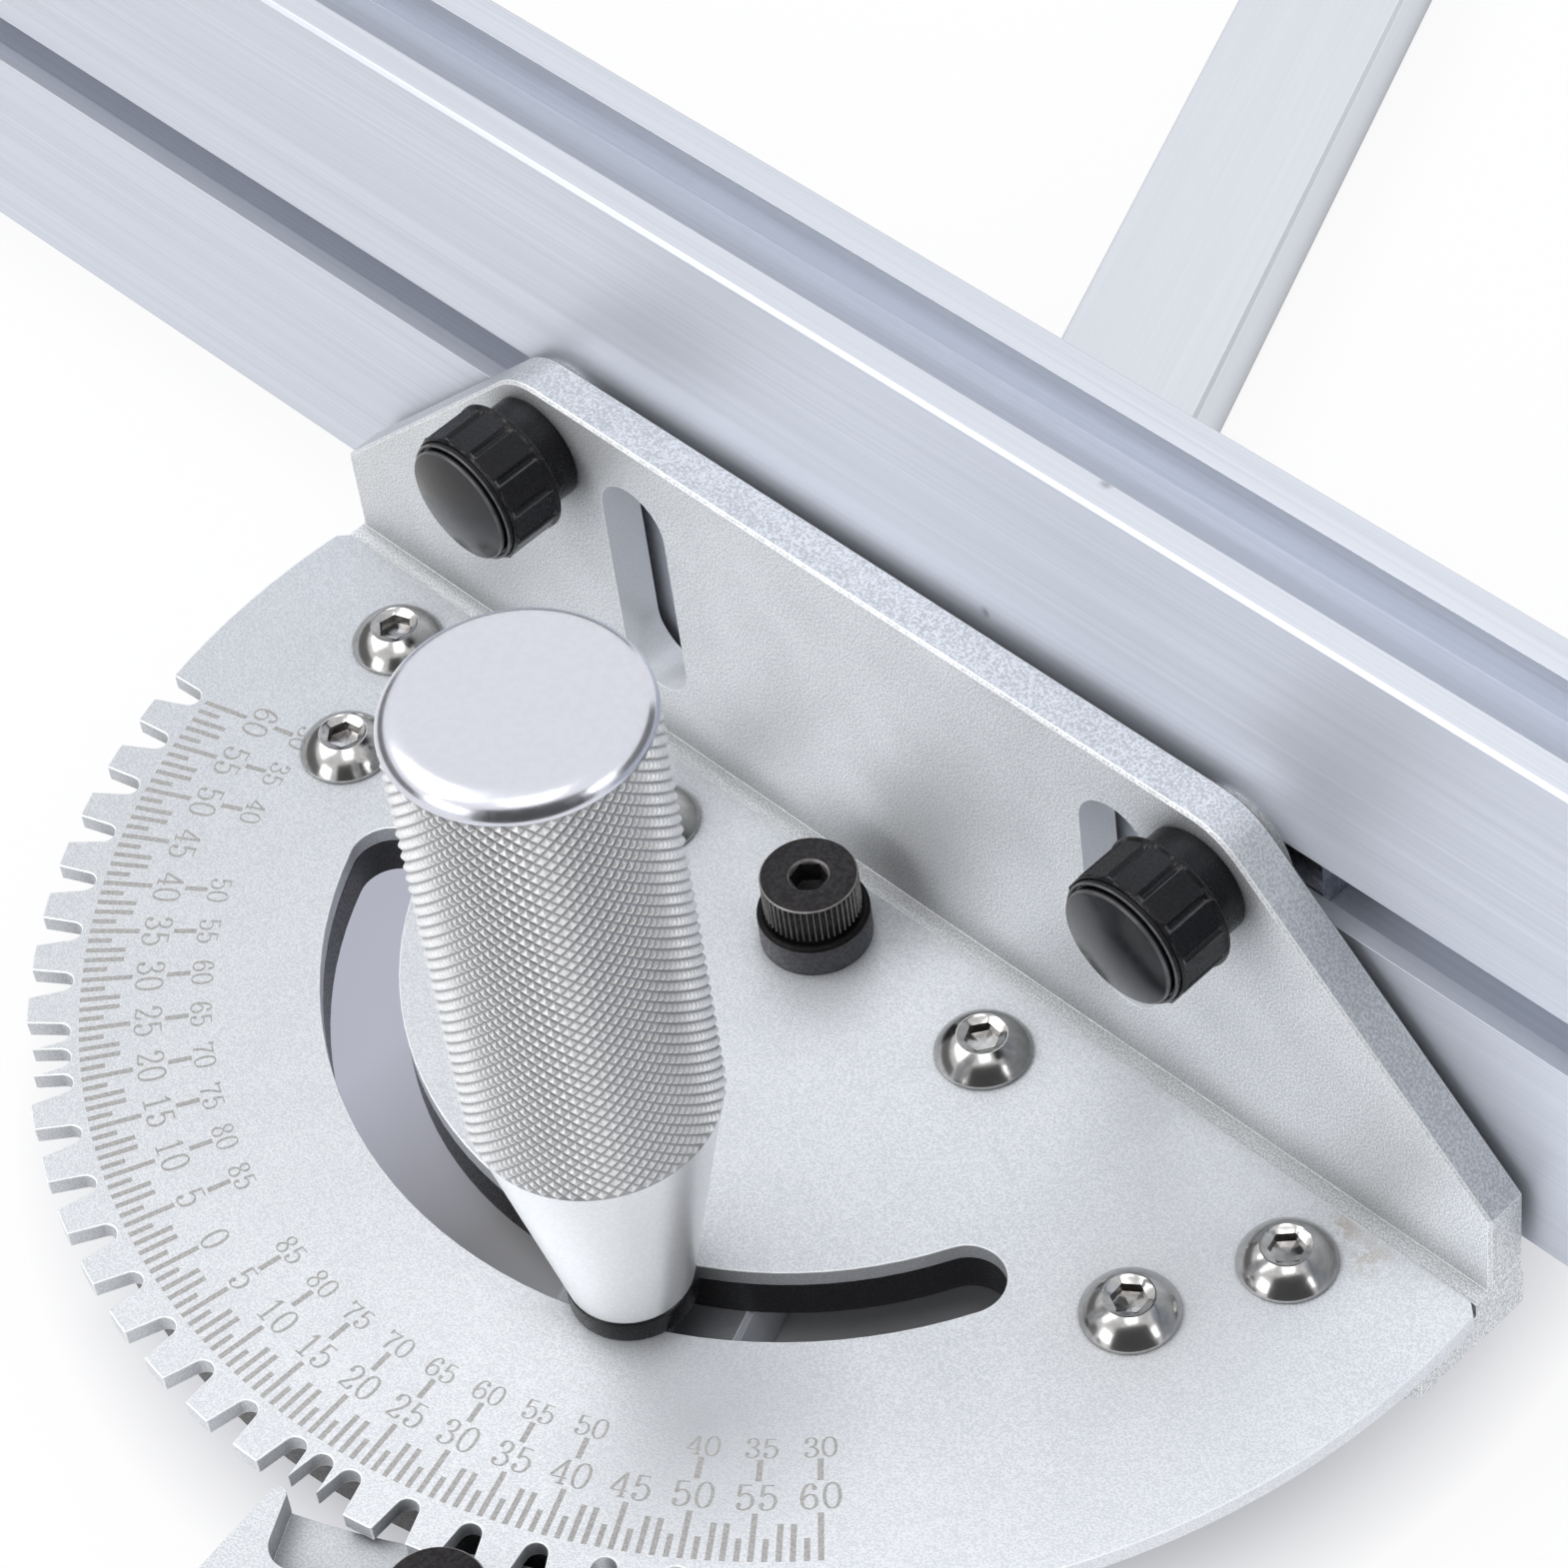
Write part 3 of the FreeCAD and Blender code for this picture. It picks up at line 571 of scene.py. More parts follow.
def dress_bracket():
    """Bracket whose sawn top is coarser than its blasted faces, and its windows smoother."""
    obj = softened("bracket", "bracket_angle", 0.16 * MM, "bracket")
    obj.data.materials.append(MATERIALS["rough_edge"])
    obj.data.materials.append(MATERIALS["window"])
    wall_front, wall_back = 9.6 * MM, 14.4 * MM
    windows, window_half = (-31.4 * MM, 34.0 * MM), 4.7 * MM
    window_low, window_high = 20 * MM, 53.5 * MM
    for face in obj.data.polygons:
        centre, normal = face.center, face.normal
        across_wall = wall_front + 0.4 * MM < centre.y < wall_back - 0.1 * MM
        outward = normal.z > 0.3 and (centre.z > 50 * MM or abs(centre.x) > 40 * MM)
        if across_wall and abs(normal.y) < 0.1 and outward and centre.z > 20 * MM:
            face.material_index = 1
        from_window = min(abs(centre.x - window) for window in windows)
        if across_wall and from_window < window_half and window_low < centre.z < window_high:
            face.material_index = 2
    return place_on(obj, "head", "bracket_grey", "bracket")


dress_bracket()


# Handle

def knurl_point(half_width, half_rise, radius, depth):
    """One diamond of the knurl: a blunt pyramid on a core, pointing along +X."""
    sunk = 0.15 * MM
    blunt = 0.2
    root = radius - depth
    shape = bmesh.new()
    corners = ((half_width, 0), (0, half_rise), (-half_width, 0), (0, -half_rise))
    rows = []
    for scale, reach in ((1.0, root - sunk), (1.0, root), (blunt, radius)):
        rows.append([shape.verts.new((math.sqrt(reach ** 2 - (y * scale) ** 2), y * scale, z * scale))
                     for y, z in corners])
    shape.faces.new(rows[0])
    shape.faces.new(rows[2])
    for low, high in zip(rows, rows[1:]):
        for k in range(4):
            shape.faces.new((low[k], low[(k + 1) % 4], high[(k + 1) % 4], high[k]))
    bmesh.ops.recalc_face_normals(shape, faces=shape.faces)
    return as_object("diamond", plain(shape, "diamond"))


def dress_handle():
    low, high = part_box("handle_grip")
    centre = (low + high) / 2
    radius = (high.x - low.x) / 2
    base, crown = low.z, high.z
    cone_top = base + 26.65 * MM
    grip_top = cone_top + 51.4 * MM
    flat = 9.4 * MM
    depth = 0.29 * MM
    core = radius - depth
    rise = crown - grip_top
    cone = turned(eased((0, base), (6.2 * MM, base, 0.2 * MM), (core - 0.02 * MM, cone_top),
                        (core - 0.2 * MM, cone_top + 0.3 * MM), (0, cone_top + 0.3 * MM)))
    sleeve = turned([(0, cone_top), (core, cone_top), (core, grip_top), (0, grip_top)])
    top = [(0, grip_top - 0.3 * MM), (core - 0.1 * MM, grip_top - 0.3 * MM), (radius - 0.05 * MM, grip_top)]
    for step in range(1, 19):
        turn = math.radians(5 * step)
        top.append((flat + (radius - flat) * math.cos(turn), grip_top + rise * math.sin(turn)))
    top += [(0, crown)]
    around, rows = 54, 70
    step = (grip_top - cone_top) / (rows + 1)
    diamond = knurl_point(core * math.sin(math.pi / around), step, radius, depth)
    knurl = bmesh.new()
    mesh = rings(diamond, "knurled", around, rows, turn=360 / around, rise=step, stagger=180 / around)
    knurl.from_mesh(mesh)
    discard(diamond)
    spot = Matrix.Translation((centre.x, centre.y, 0))
    lifted = Matrix.Translation((centre.x, centre.y, cone_top + step))
    obj = joined("handle", [(cone, spot, 0), (sleeve, spot, 1), (knurl, lifted, 1), (turned(top), spot, 2)],
                 ["turned", "knurled", "crown"])
    return place_on(obj, "handle", "handle_steel", "handle_grip")


dress_handle()


# Screws

def button_screw():
    """Button head screw about Z, its head's seat at z = 0."""
    edge, rim, flat, top = 4.9 * MM, 0.5 * MM, 2.6 * MM, 2.75 * MM
    centre = (edge ** 2 - flat ** 2 + rim ** 2 - top ** 2) / (2 * (rim - top))
    bend = math.hypot(edge, rim - centre)
    half = (math.atan2(rim - centre, edge) + math.atan2(top - centre, flat)) / 2
    middle = (bend * math.cos(half), centre + bend * math.sin(half))
    section = [(0, -6.2 * MM), (2.45 * MM, -6.2 * MM), (2.45 * MM, 0), (edge - 0.1 * MM, 0), (edge, 0.1 * MM),
               (edge, rim)]
    section += arc((edge, rim), middle, (flat, top), 12)
    key = hexed(3.2 * MM)
    section += [(2.5 * MM, top), (2.4 * MM, top - 0.07 * MM), (2.2 * MM, top - 0.14 * MM),
                (key, top - 0.4 * MM), (key, top - 1.6 * MM), (0, top - 1.9 * MM)]
    return turned(section, 96)


def dress_button_screws():
    places = bmesh.new()
    names = ["head_screw_" + str(number) for number in range(1, 7)]
    for name in names:
        low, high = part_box(name)
        places.verts.new(((low.x + high.x) / 2, (low.y + high.y) / 2, PLATE_TOP))
    base = plain(places, "places")
    part = joined("screw", [(button_screw(), Matrix(), 0)], [])
    # the socket's walls are marked as rim: painted shade
    mark_rim(part, lambda face: abs(face.normal.z) < 0.3 and face.center.xy.length < 2 * MM)
    mesh = grown(PLACES, base, Part=part, Turn=math.radians(25), Material=MATERIALS["stainless"])
    discard(part)
    obj = as_object("button_screws", mesh)
    smooth(mesh, 28)
    return place_on(obj, "head", "screw_steel", *names)


dress_button_screws()


def fluted(radius, count, depth):
    """Radius of a straight-knurled side at a turn."""
    def reach(turn):
        return radius - depth * abs(math.sin(count * turn / 2)) ** 0.7
    return reach


def dress_knurled_screw(node, cup_node, name, turn):
    low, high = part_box(node)
    spot = Matrix.Translation(((low.x + high.x) / 2, (low.y + high.y) / 2, 0))
    spot = spot @ Matrix.Rotation(math.radians(turn), 4, "Z")
    top = high.z
    radius = 5.0 * MM
    seat = top - 6.0 * MM
    knurl = fluted(radius, 48, 0.4 * MM)
    key = hexed(3.4 * MM)
    section = [(0, 2 * MM), (2.9 * MM, 2 * MM), (2.9 * MM, seat), (4.5 * MM, seat),
               (4.6 * MM, seat + 0.1 * MM), (4.6 * MM, seat + 1.3 * MM), (knurl, seat + 1.5 * MM),
               (knurl, top - 0.4 * MM), (4.9 * MM, top - 0.22 * MM), (radius, top - 0.14 * MM),
               (4.93 * MM, top - 0.04 * MM), (4.84 * MM, top), (2.14 * MM, top),
               (2.08 * MM, top - 0.05 * MM), (1.96 * MM, top - 0.3 * MM),
               (key, top - 0.36 * MM), (key, top - 2.8 * MM), (0, top - 3.3 * MM)]
    screw = joined(name, [(turned(section, 384), spot, 0)], ["black_screw"])
    middle = spot.translation

    # ridge tops and the socket's lip get a painted highlight
    def worn(face):
        centre = face.center
        away = math.hypot(centre.x - middle.x, centre.y - middle.y)
        return away > 4.88 * MM or (1.97 * MM < away < 2.13 * MM and centre.z > top - 0.2 * MM)

    mark_rim(screw, worn)
    place_on(screw, "base", "black_screw", node)
    low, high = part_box(cup_node)
    edge = 5.75 * MM
    section = eased((5.05 * MM, high.z - 1.2 * MM), (4.05 * MM, high.z - 1.2 * MM), (4.05 * MM, low.z),
                    (edge, low.z, 0.15 * MM), (edge, high.z - 0.2 * MM, 0.3 * MM),
                    (5.25 * MM, high.z, 0.3 * MM), (5.05 * MM, high.z - 0.1 * MM))
    collar = joined(name + "_collar", [(turned_ring(section), spot, 0)], ["collar", "lip"])
    for face in collar.data.polygons:
        face.material_index = 1 if face.center.z > high.z - 0.55 * MM else 0
    return place_on(collar, "base", "black_screw", cup_node)


dress_knurled_screw("pivot_screw", "pivot_cup", "pivot", 12)
dress_knurled_screw("pawl_screw", "pawl_cup", "pawl_pivot", 40)


# Knobs, drawn along Z from the bracket's face and laid along -Y

def padded_side(radius, flat, pads, groove, depth):
    """Radius of a knob's side at a turn: flat pads between round-ended grooves."""
    def reach(turn):
        off = (turn + math.pi / pads) % (2 * math.pi / pads) - math.pi / pads
        pad = min(radius, flat / math.cos(off))
        gap = (math.pi / pads - abs(off)) * radius
        sunk = depth * max(0.0, math.cos(math.pi / 2 * min(1.0, gap / (groove / 2)))) ** 0.6
        return pad - sunk
    return reach


def dress_knob(side):
    low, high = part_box("knob_body_" + side)
    spot = Matrix.Translation(((low.x + high.x) / 2, high.y, (low.z + high.z) / 2))
    spot = spot @ Matrix.Rotation(math.radians(90), 4, "X")
    front = high.y - low.y
    radius, flat, rear = 7.4 * MM, 7.15 * MM, 3.6 * MM
    pads, groove, groove_depth = 12, 0.8 * MM, 0.45 * MM
    half_pad = math.pi / pads

    def side_at(share):
        return padded_side(radius, flat, pads, groove, share * groove_depth)

    section = [(0, 0), (5.65 * MM, 0), (5.85 * MM, 0.2 * MM), (5.85 * MM, rear), (6.9 * MM, rear),
               (7.15 * MM, rear + 0.1 * MM), (radius, rear + 0.3 * MM), (radius, rear + 0.5 * MM),
               (side_at(0), rear + 0.75 * MM), (side_at(0.7), rear + 1.1 * MM), (side_at(1), rear + 1.3 * MM),
               (side_at(1), front - 1.3 * MM), (side_at(0.8), front - 1.05 * MM),
               (side_at(0), front - 0.85 * MM),
               (7.12 * MM, front - 0.7 * MM), (7.0 * MM, front - 0.62 * MM), (6.95 * MM, front - 0.85 * MM),
               (6.88 * MM, front - 0.8 * MM), (6.88 * MM, front - 0.15 * MM), (6.8 * MM, front - 0.03 * MM),
               (6.7 * MM, front), (6.6 * MM, front - 0.04 * MM), (6.54 * MM, front - 0.15 * MM),
               (6.5 * MM, front - 0.4 * MM), (0, front - 0.4 * MM)]
    body = joined("knob_" + side, [(turned(section, 264), spot, 0)], ["knob"])
    middle = spot.translation

    # groove ends, the front bead, the rear edge and the sides of the grooves get painted highlights
    def lighter(face):
        off = face.center - middle
        along, out = -off.y, math.hypot(off.x, off.z)
        turn = (math.atan2(off.z, off.x) + half_pad) % (2 * half_pad) - half_pad
        gap = (half_pad - abs(turn)) * radius
        beside_groove = (turn > 0 and 0.30 * MM < gap < 0.47 * MM
                         and rear + 0.9 * MM < along < front - 0.9 * MM)
        groove_end = gap < 0.32 * MM and front - 1.2 * MM < along < front - 0.85 * MM
        bead = 6.56 * MM < out < 6.84 * MM and along > front - 0.12 * MM
        rear_edge = rear + 0.05 * MM < along < rear + 0.3 * MM and out > 7.1 * MM
        return 1.0 if groove_end or bead or rear_edge else 0.5 * beside_groove

    mark_rim(body, lighter)
    place_on(body, "knob_" + side, "knob_black", "knob_body_" + side)
    edge = 6.42 * MM
    section = eased((0, front - 0.2 * MM), (6.2 * MM, front - 0.2 * MM), (6.2 * MM, front + 0.1 * MM),
                    (edge, front + 0.15 * MM, 0.1 * MM), (edge, front + 0.6 * MM, 0.2 * MM),
                    (5.9 * MM, front + 0.72 * MM))
    for step in range(1, 11):
        t = 1 - step / 10
        section.append((5.9 * MM * t, front + (0.72 + 0.75 * (1 - t * t)) * MM))
    cap = joined("knob_cap_" + side + "_dome", [(turned(section, 96), spot, 0)], ["cap"])
    # the cap's outer rim gets a painted highlight
    mark_rim(cap, lambda face: 6.15 * MM < math.hypot(face.center.x - middle.x, face.center.z - middle.z)
             and middle.y - face.center.y > front + 0.4 * MM)
    return place_on(cap, "knob_" + side, "cap_black", "knob_cap_" + side)


for knob_side in ("left", "right"):
    dress_knob(knob_side)


# Washer under the handle

def dress_washer():
    low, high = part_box("handle_washer")
    spot = Matrix.Translation(((low.x + high.x) / 2, (low.y + high.y) / 2, 0))
    edge = (high.x - low.x) / 2
    section = eased((3.1 * MM, low.z), (edge, low.z, 0.2 * MM), (edge, high.z, 0.3 * MM), (3.1 * MM, high.z))
    obj = joined("washer", [(turned_ring(section), spot, 0)], ["knob"])
    return place_on(obj, "handle", "washer_black", "handle_washer")


dress_washer()

for node_name, material_name in (("t_bolt_left", "zinc"), ("t_bolt_right", "zinc"), ("handle_stud", "zinc"),
                                 ("knob_insert_left", "brass"), ("knob_insert_right", "brass")):
    node_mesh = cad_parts[node_name].data
    for number in range(len(node_mesh.materials)):
        node_mesh.materials[number] = MATERIALS[material_name]


# Scale on the plate

MARK_HEIGHT = 0.012 * MM
MARK_DEPTH = 0.05 * MM


def slab(outline):
    """Closed thin slab with an outline, let in the plate's top."""
    shape = bmesh.new()
    high = [shape.verts.new((x, y, PLATE_TOP + MARK_HEIGHT)) for x, y in outline]
    low = [shape.verts.new((x, y, PLATE_TOP - MARK_DEPTH)) for x, y in outline]
    shape.faces.new(high)
    shape.faces.new(reversed(low))
    for k in range(len(outline)):
        after = (k + 1) % len(outline)
        shape.faces.new((high[k], low[k], low[after], high[after]))
    bmesh.ops.recalc_face_normals(shape, faces=shape.faces)
    return shape


def tick(inner, outer, width):
    """One mark of the scale, drawn at the bearing 0."""
    half = width / 2
    shape = slab([(-half, -outer), (half, -outer), (half, -inner), (-half, -inner)])
    return as_object("tick", plain(shape, "tick"))


def tick_runs():
    """Meshes of all the marks; each run is its first number, its step and how many."""
    outer = 75.1 * MM
    kinds = [
        (tick(69.86 * MM, outer, 0.56 * MM), [(-60, 5, 25)]),
        (tick(71.0 * MM, outer, 0.56 * MM), [(-58, 5, 24), (-57, 5, 24)]),
        (tick(72.6 * MM, outer, 0.56 * MM), [(-59, 5, 24), (-56, 5, 24)]),
        (tick(63.9 * MM, 66.3 * MM, 0.57 * MM), [(-60, 5, 3), (-40, 5, 8), (5, 5, 8), (50, 5, 3)]),
    ]
    meshes = []
    for mark, runs in kinds:
        for first, step, count in runs:
            meshes.append(rings(mark, "mark", count, first=first - SCALE_LEAD, turn=step))
        discard(mark)
    return meshes


place_on(merged("scale_marks", tick_runs(), "mark"), "head", "plate_steel")

# A numeral is strokes in a cell that is 1 high, each a path and how thick its thin and thick parts are,
# with balls at the ends of curved strokes and flat feet
THIN, THICK = 0.05, 0.11
NUMERALS = {
    "0": ([[(0.30, 1.0), (0.12, 0.86), (0.06, 0.5), (0.12, 0.14), (0.30, 0.0), (0.48, 0.14), (0.54, 0.5),
            (0.48, 0.86), (0.30, 1.0)]], [], []),
    "1": ([[(0.31, 1.0), (0.31, 0.67), (0.31, 0.33), (0.31, 0.0)],
           [(0.14, 0.82), (0.22, 0.87), (0.31, 0.98)]], [], [(0.12, 0.5, 0.03)]),
    "2": ([[(0.10, 0.74), (0.15, 0.92), (0.30, 1.0), (0.47, 0.92), (0.52, 0.74), (0.44, 0.52), (0.25, 0.28),
            (0.09, 0.08)], [(0.08, 0.06), (0.2, 0.075), (0.36, 0.05), (0.47, 0.06), (0.53, 0.24)]],
          [(0.13, 0.74)], []),
    "3": ([[(0.10, 0.80), (0.17, 0.95), (0.31, 1.0), (0.46, 0.91), (0.48, 0.73), (0.40, 0.58), (0.24, 0.53)],
           [(0.24, 0.53), (0.42, 0.48), (0.54, 0.28), (0.45, 0.07), (0.29, 0.0), (0.14, 0.05), (0.08, 0.18)]],
          [(0.13, 0.79), (0.12, 0.20)], []),
    "4": ([[(0.43, 1.0), (0.43, 0.67), (0.43, 0.33), (0.43, 0.0)],
           [(0.42, 0.98), (0.23, 0.63), (0.04, 0.28)], [(0.03, 0.27), (0.3, 0.27), (0.57, 0.27)]], [],
          [(0.30, 0.56, 0.03)]),
    "5": ([[(0.13, 0.99), (0.115, 0.75), (0.10, 0.52)], [(0.11, 0.97), (0.28, 0.97), (0.46, 0.97)],
           [(0.10, 0.52), (0.20, 0.61), (0.33, 0.64), (0.48, 0.54), (0.54, 0.33), (0.46, 0.09), (0.28, 0.0),
            (0.13, 0.05), (0.08, 0.18)]], [(0.12, 0.20)], []),
    "6": ([[(0.48, 0.84), (0.40, 0.97), (0.28, 0.98), (0.14, 0.80), (0.07, 0.45), (0.12, 0.13), (0.30, 0.0)],
           [(0.30, 0.0), (0.47, 0.10), (0.53, 0.30), (0.46, 0.51), (0.32, 0.58), (0.18, 0.50), (0.12, 0.38)]],
          [(0.46, 0.83)], []),
    "7": ([[(0.07, 0.93), (0.3, 0.91), (0.54, 0.95)], [(0.06, 1.0), (0.07, 0.88), (0.06, 0.76)],
           [(0.54, 0.95), (0.42, 0.68), (0.30, 0.38), (0.26, 0.0)]], [], []),
    "8": ([[(0.30, 1.0), (0.16, 0.92), (0.12, 0.77), (0.17, 0.63), (0.30, 0.54), (0.43, 0.44), (0.51, 0.28),
            (0.45, 0.07), (0.30, 0.0)],
           [(0.30, 0.0), (0.15, 0.07), (0.09, 0.27), (0.17, 0.44), (0.30, 0.54), (0.42, 0.64), (0.48, 0.77),
            (0.43, 0.92), (0.30, 1.0)]], [], []),
    "9": ([[(0.12, 0.16), (0.20, 0.03), (0.32, 0.02), (0.46, 0.20), (0.53, 0.55), (0.48, 0.87), (0.30, 1.0)],
           [(0.30, 1.0), (0.13, 0.90), (0.07, 0.70), (0.14, 0.49), (0.28, 0.42), (0.42, 0.50), (0.48, 0.62)]],
          [(0.14, 0.17)], []),
}


def flowing(points, steps=5):
    """Smooth path through points."""
    closed = points[0] == points[-1]
    path = []
    for k in range(len(points) - 1):
        p1, p2 = Vector(points[k]), Vector(points[k + 1])
        p0 = Vector(points[k - 1]) if k else (Vector(points[-2]) if closed else p1)
        p3 = Vector(points[k + 2]) if k + 2 < len(points) else (Vector(points[1]) if closed else p2)
        for step in range(steps):
            t = step / steps
            path.append(0.5 * (2 * p1 + (p2 - p0) * t + (2 * p0 - 5 * p1 + 4 * p2 - p3) * t ** 2
                               + (3 * p1 - p0 - 3 * p2 + p3) * t ** 3))
    path.append(Vector(points[-1]))
    return path


def stroke_outline(points):
    """Outline of a stroke that is thick where it runs up and down, and thin across."""
    path = flowing(points)
    left, right = [], []
    for k, point in enumerate(path):
        run = (path[min(k + 1, len(path) - 1)] - path[max(k - 1, 0)]).normalized()
        half = (THIN + (THICK - THIN) * abs(run.y) ** 1.5) / 2
        side = Vector((-run.y, run.x)) * half
        left.append(point + side)
        right.append(point - side)
    return left, right


def ribbon(left, right, top, put_at):
    """Closed thin solid between two sides of a stroke."""
    shape = bmesh.new()
    levels = []
    for side, height in ((left, top), (right, top), (right, PLATE_TOP - MARK_DEPTH),
                         (left, PLATE_TOP - MARK_DEPTH)):
        levels.append([shape.verts.new((*put_at(point), height)) for point in side])
    for k in range(len(left) - 1):
        for a in range(4):
            b = (a + 1) % 4
            shape.faces.new((levels[a][k], levels[b][k], levels[b][k + 1], levels[a][k + 1]))
    shape.faces.new([level[0] for level in levels])
    shape.faces.new([level[-1] for level in reversed(levels)])
    bmesh.ops.recalc_face_normals(shape, faces=shape.faces)
    return shape


def numeral_parts(digit, put_at):
    """Thin solids of one numeral; put_at lays a point of its cell on the plate."""
    strokes, balls, feet = NUMERALS[digit]
    parts = []
    for stroke in strokes:
        parts.append(stroke_outline(stroke))
    for x, y in balls:
        ring = [Vector((x + 0.085 * math.cos(a * math.pi / 6), y + 0.085 * math.sin(a * math.pi / 6)))
                for a in range(12)]
        parts.append(([ring[k] for k in range(0, 7)], [ring[-k] for k in range(0, 7)]))
    for low, high, rise in feet:
        parts.append(([Vector((low, rise + 0.03)), Vector((high, rise + 0.03))],
                      [Vector((low, rise - 0.03)), Vector((high, rise - 0.03))]))
    return [ribbon(left, right, PLATE_TOP + MARK_HEIGHT + order * 0.002 * MM, put_at)
            for order, (left, right) in enumerate(parts)]


def number_shapes(number, stop, base, height, width, pitch):
    """Solids of a number read from the rim, its foot at a radius and its middle at a stop."""
    bearing = math.radians(stop - SCALE_LEAD)
    up = Vector((-math.sin(bearing), math.cos(bearing)))
    across = Vector((math.cos(bearing), math.sin(bearing)))
    foot = Vector((math.sin(bearing), -math.cos(bearing))) * base
    shapes = []
    text = str(number)
    for order, digit in enumerate(text):
        start = (order - (len(text) - 1) / 2) * pitch

        def put_at(point, start=start):
            place = foot + across * (start + (point.x - 0.3) * width / 0.6) + up * point.y * height
            return place.x, place.y

        shapes += numeral_parts(digit, put_at)
    return shapes


def dress_numbers():
    shapes = []
    for stop in range(-60, 61, 5):
        shapes += number_shapes(abs(stop), stop, 69.45 * MM, 2.8 * MM, 1.8 * MM, 2.13 * MM)
        if stop and abs(stop) != 45:
            shapes += number_shapes(90 - abs(stop), stop, 63.7 * MM, 2.15 * MM, 1.5 * MM, 1.7 * MM)
    meshes = [plain(shape, "stroke") for shape in shapes]
    return place_on(merged("scale_numbers", meshes, "mark"), "head", "plate_steel")


dress_numbers()


# Floor, light and camera

def shown_to_eye_or_mirror(tree):
    """1 where a ray comes from the camera, a reflection or glass."""
    path = tree.nodes.new("ShaderNodeLightPath").outputs
    seen = maths(tree, "MAXIMUM", path["Is Camera Ray"], path["Is Glossy Ray"])
    return maths(tree, "MAXIMUM", seen, path["Is Transmission Ray"])


def panel(name, corners, material_name):
    """Four-cornered sheet and the empty tree of its material."""
    mesh = bpy.data.meshes.new(name)
    mesh.from_pydata(corners, [], [(0, 1, 2, 3)])
    material = bpy.data.materials.new(material_name)
    material.use_nodes = True
    material.node_tree.nodes.clear()
    mesh.materials.append(material)
    return as_object(name, mesh), material.node_tree


def make_floor():
    half = 6.0
    floor, tree = panel("floor", [(-half, -half, 0), (half, -half, 0), (half, half, 0), (-half, half, 0)],
                        "Pale floor")
    place = tree.nodes.new("ShaderNodeTexCoord").outputs["Object"]
    away = put(tree, "ShaderNodeVectorMath", {0: place}, operation="LENGTH").outputs["Value"]
    x = put(tree, "ShaderNodeSeparateXYZ", {0: place}).outputs[0]
    # painted shade under the head: the floor's colour is darker there and its glow is left out; to the left
    # of the pivot a dimmer lavender glow stays, painted light
    beside = spread(tree, x, -34 * MM, -8 * MM, 1.0, 0.0)
    under = spread(tree, away, 55 * MM, 85 * MM, 1.0, 0.0)
    tint = mixed(tree, under, (0.86, 0.86, 0.88, 1), (0.55, 0.55, 0.57, 1))
    diffuse = put(tree, "ShaderNodeBsdfDiffuse", {"Color": tint})
    seen = mixed(tree, under, (1, 1, 1, 1), (0.50, 0.51, 0.60, 1))
    glow = put(tree, "ShaderNodeEmission", {"Color": seen, "Strength": 1.0})
    open_floor = maths(tree, "MAXIMUM", maths(tree, "SUBTRACT", 1.0, under), beside)
    share = maths(tree, "MULTIPLY", shown_to_eye_or_mirror(tree), maths(tree, "MULTIPLY", open_floor, 0.88))
    blend = put(tree, "ShaderNodeMixShader", {0: share, 1: diffuse.outputs[0], 2: glow.outputs[0]})
    end = tree.nodes.new("ShaderNodeOutputMaterial")
    tree.links.new(blend.outputs[0], end.inputs["Surface"])


def make_world():
    world = bpy.data.worlds.new("Studio")
    bpy.context.scene.world = world
    world.use_nodes = True
    tree = world.node_tree
    tree.nodes.clear()
    colour = mixed(tree, shown_to_eye_or_mirror(tree), (0.72, 0.73, 0.75, 1), (1, 1, 1, 1))
    sky = put(tree, "ShaderNodeBackground", {"Color": colour, "Strength": 1.0})
    end = tree.nodes.new("ShaderNodeOutputWorld")
    tree.links.new(sky.outputs[0], end.inputs["Surface"])


def lamp(name, place, size, power):
    """Square lamp that shines on the pivot."""
    data = bpy.data.lights.new(name, "AREA")
    data.size = size
    data.energy = power
    obj = bpy.data.objects.new(name, data)
    obj.location = place
    obj.rotation_euler = (Vector((0, 0, 0.02)) - Vector(place)).to_track_quat("-Z", "Y").to_euler()
    bpy.context.scene.collection.objects.link(obj)


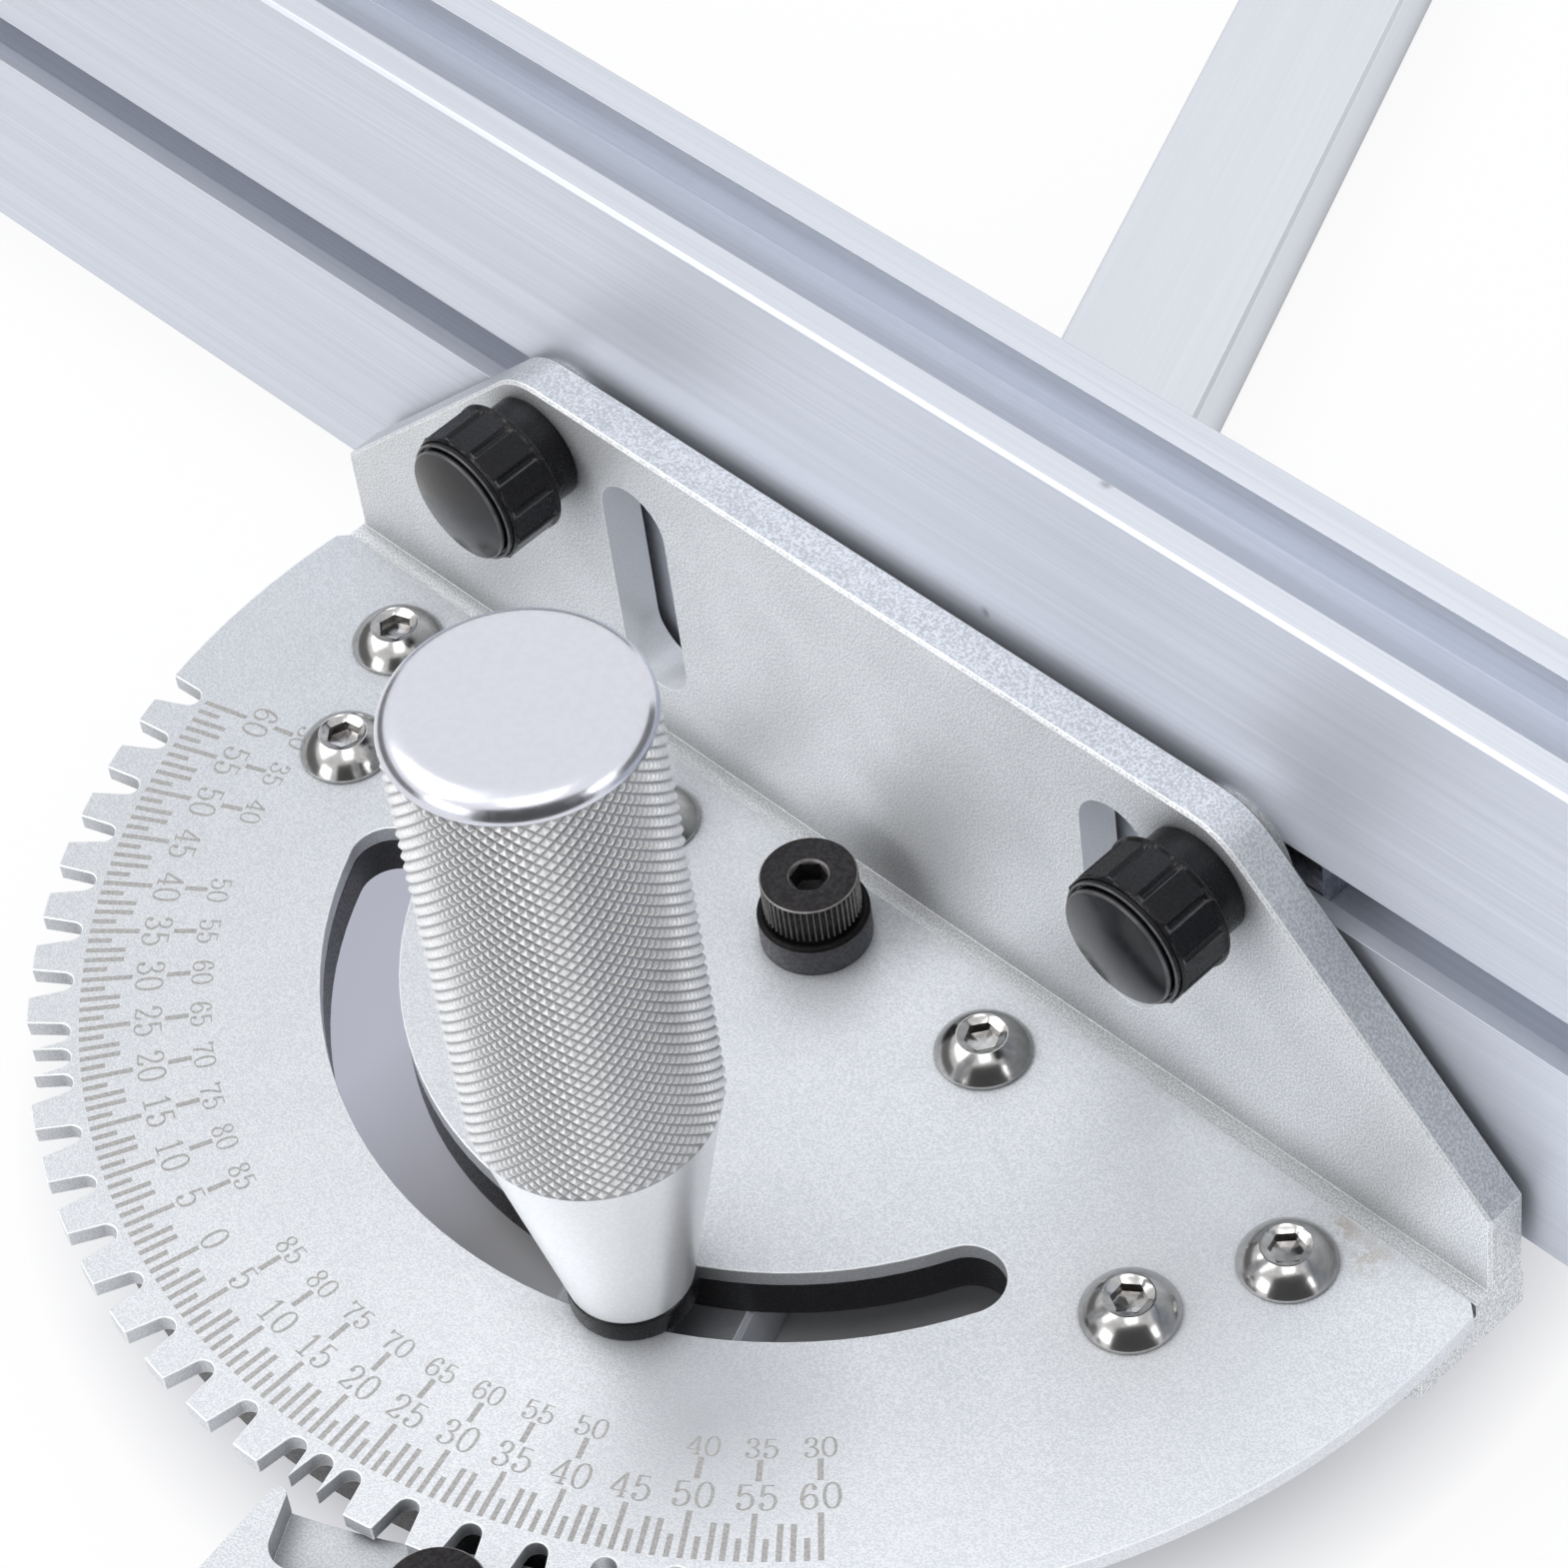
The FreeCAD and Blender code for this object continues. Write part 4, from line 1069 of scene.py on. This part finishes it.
def dark_card(name, bearing, away, low, high, width, grey):
    """Dark card that only reflections see, standing round the object."""
    angle = math.radians(bearing)
    centre = Vector((math.sin(angle), -math.cos(angle), 0)) * away
    side = Vector((math.cos(angle), math.sin(angle), 0)) * (width / 2)
    corners = [centre - side, centre + side, centre + side, centre - side]
    for corner, height in zip(corners, (low, low, high, high)):
        corner.z = height
    card, tree = panel(name, [tuple(corner) for corner in corners], "Card")
    glow = put(tree, "ShaderNodeEmission", {"Color": (grey, grey, grey, 1), "Strength": 1.0})
    end = tree.nodes.new("ShaderNodeOutputMaterial")
    tree.links.new(glow.outputs[0], end.inputs["Surface"])
    card.visible_camera = False
    card.visible_diffuse = False
    card.visible_transmission = False
    card.visible_volume_scatter = False
    card.visible_shadow = False


def make_camera():
    right = Vector((0.70440, 0.70266, -0.10037))
    up = Vector((-0.47850, 0.57453, 0.66403))
    back = Vector((0.52426, -0.41972, 0.74094))
    data = bpy.data.cameras.new("Camera")
    data.sensor_width = 36
    data.lens = 121.36
    data.clip_start = 0.01
    camera = bpy.data.objects.new("Camera", data)
    camera.matrix_world = Matrix.Translation((0.26945, -0.21706, 0.42035)) @ Matrix(
        (right, up, back)).transposed().to_4x4()
    bpy.context.scene.collection.objects.link(camera)
    bpy.context.scene.camera = camera


make_floor()
make_world()
lamp("Key", (-0.90, -0.80, 1.55), 1.20, 15.0)
lamp("Overhead", (0.34, -0.28, 1.10), 0.45, 2.0)
lamp("Front box", (-0.18, -1.25, 0.45), 0.50, 3.0)
lamp("Right box", (1.22, 0.24, 0.55), 0.45, 2.5)
for card_name, bearing, away, high, width, grey in (
        ("Card camera side", 51, 0.30, 0.36, 0.48, 0.10), ("Card right", 141, 0.45, 0.25, 0.50, 0.20),
        ("Card front", -62, 0.45, 0.20, 0.70, 0.20), ("Card left", 231, 0.50, 0.12, 0.50, 0.20)):
    dark_card(card_name, bearing, away, 0.002, high, width, grey)
make_camera()
bpy.context.scene.view_settings.view_transform = "Standard"
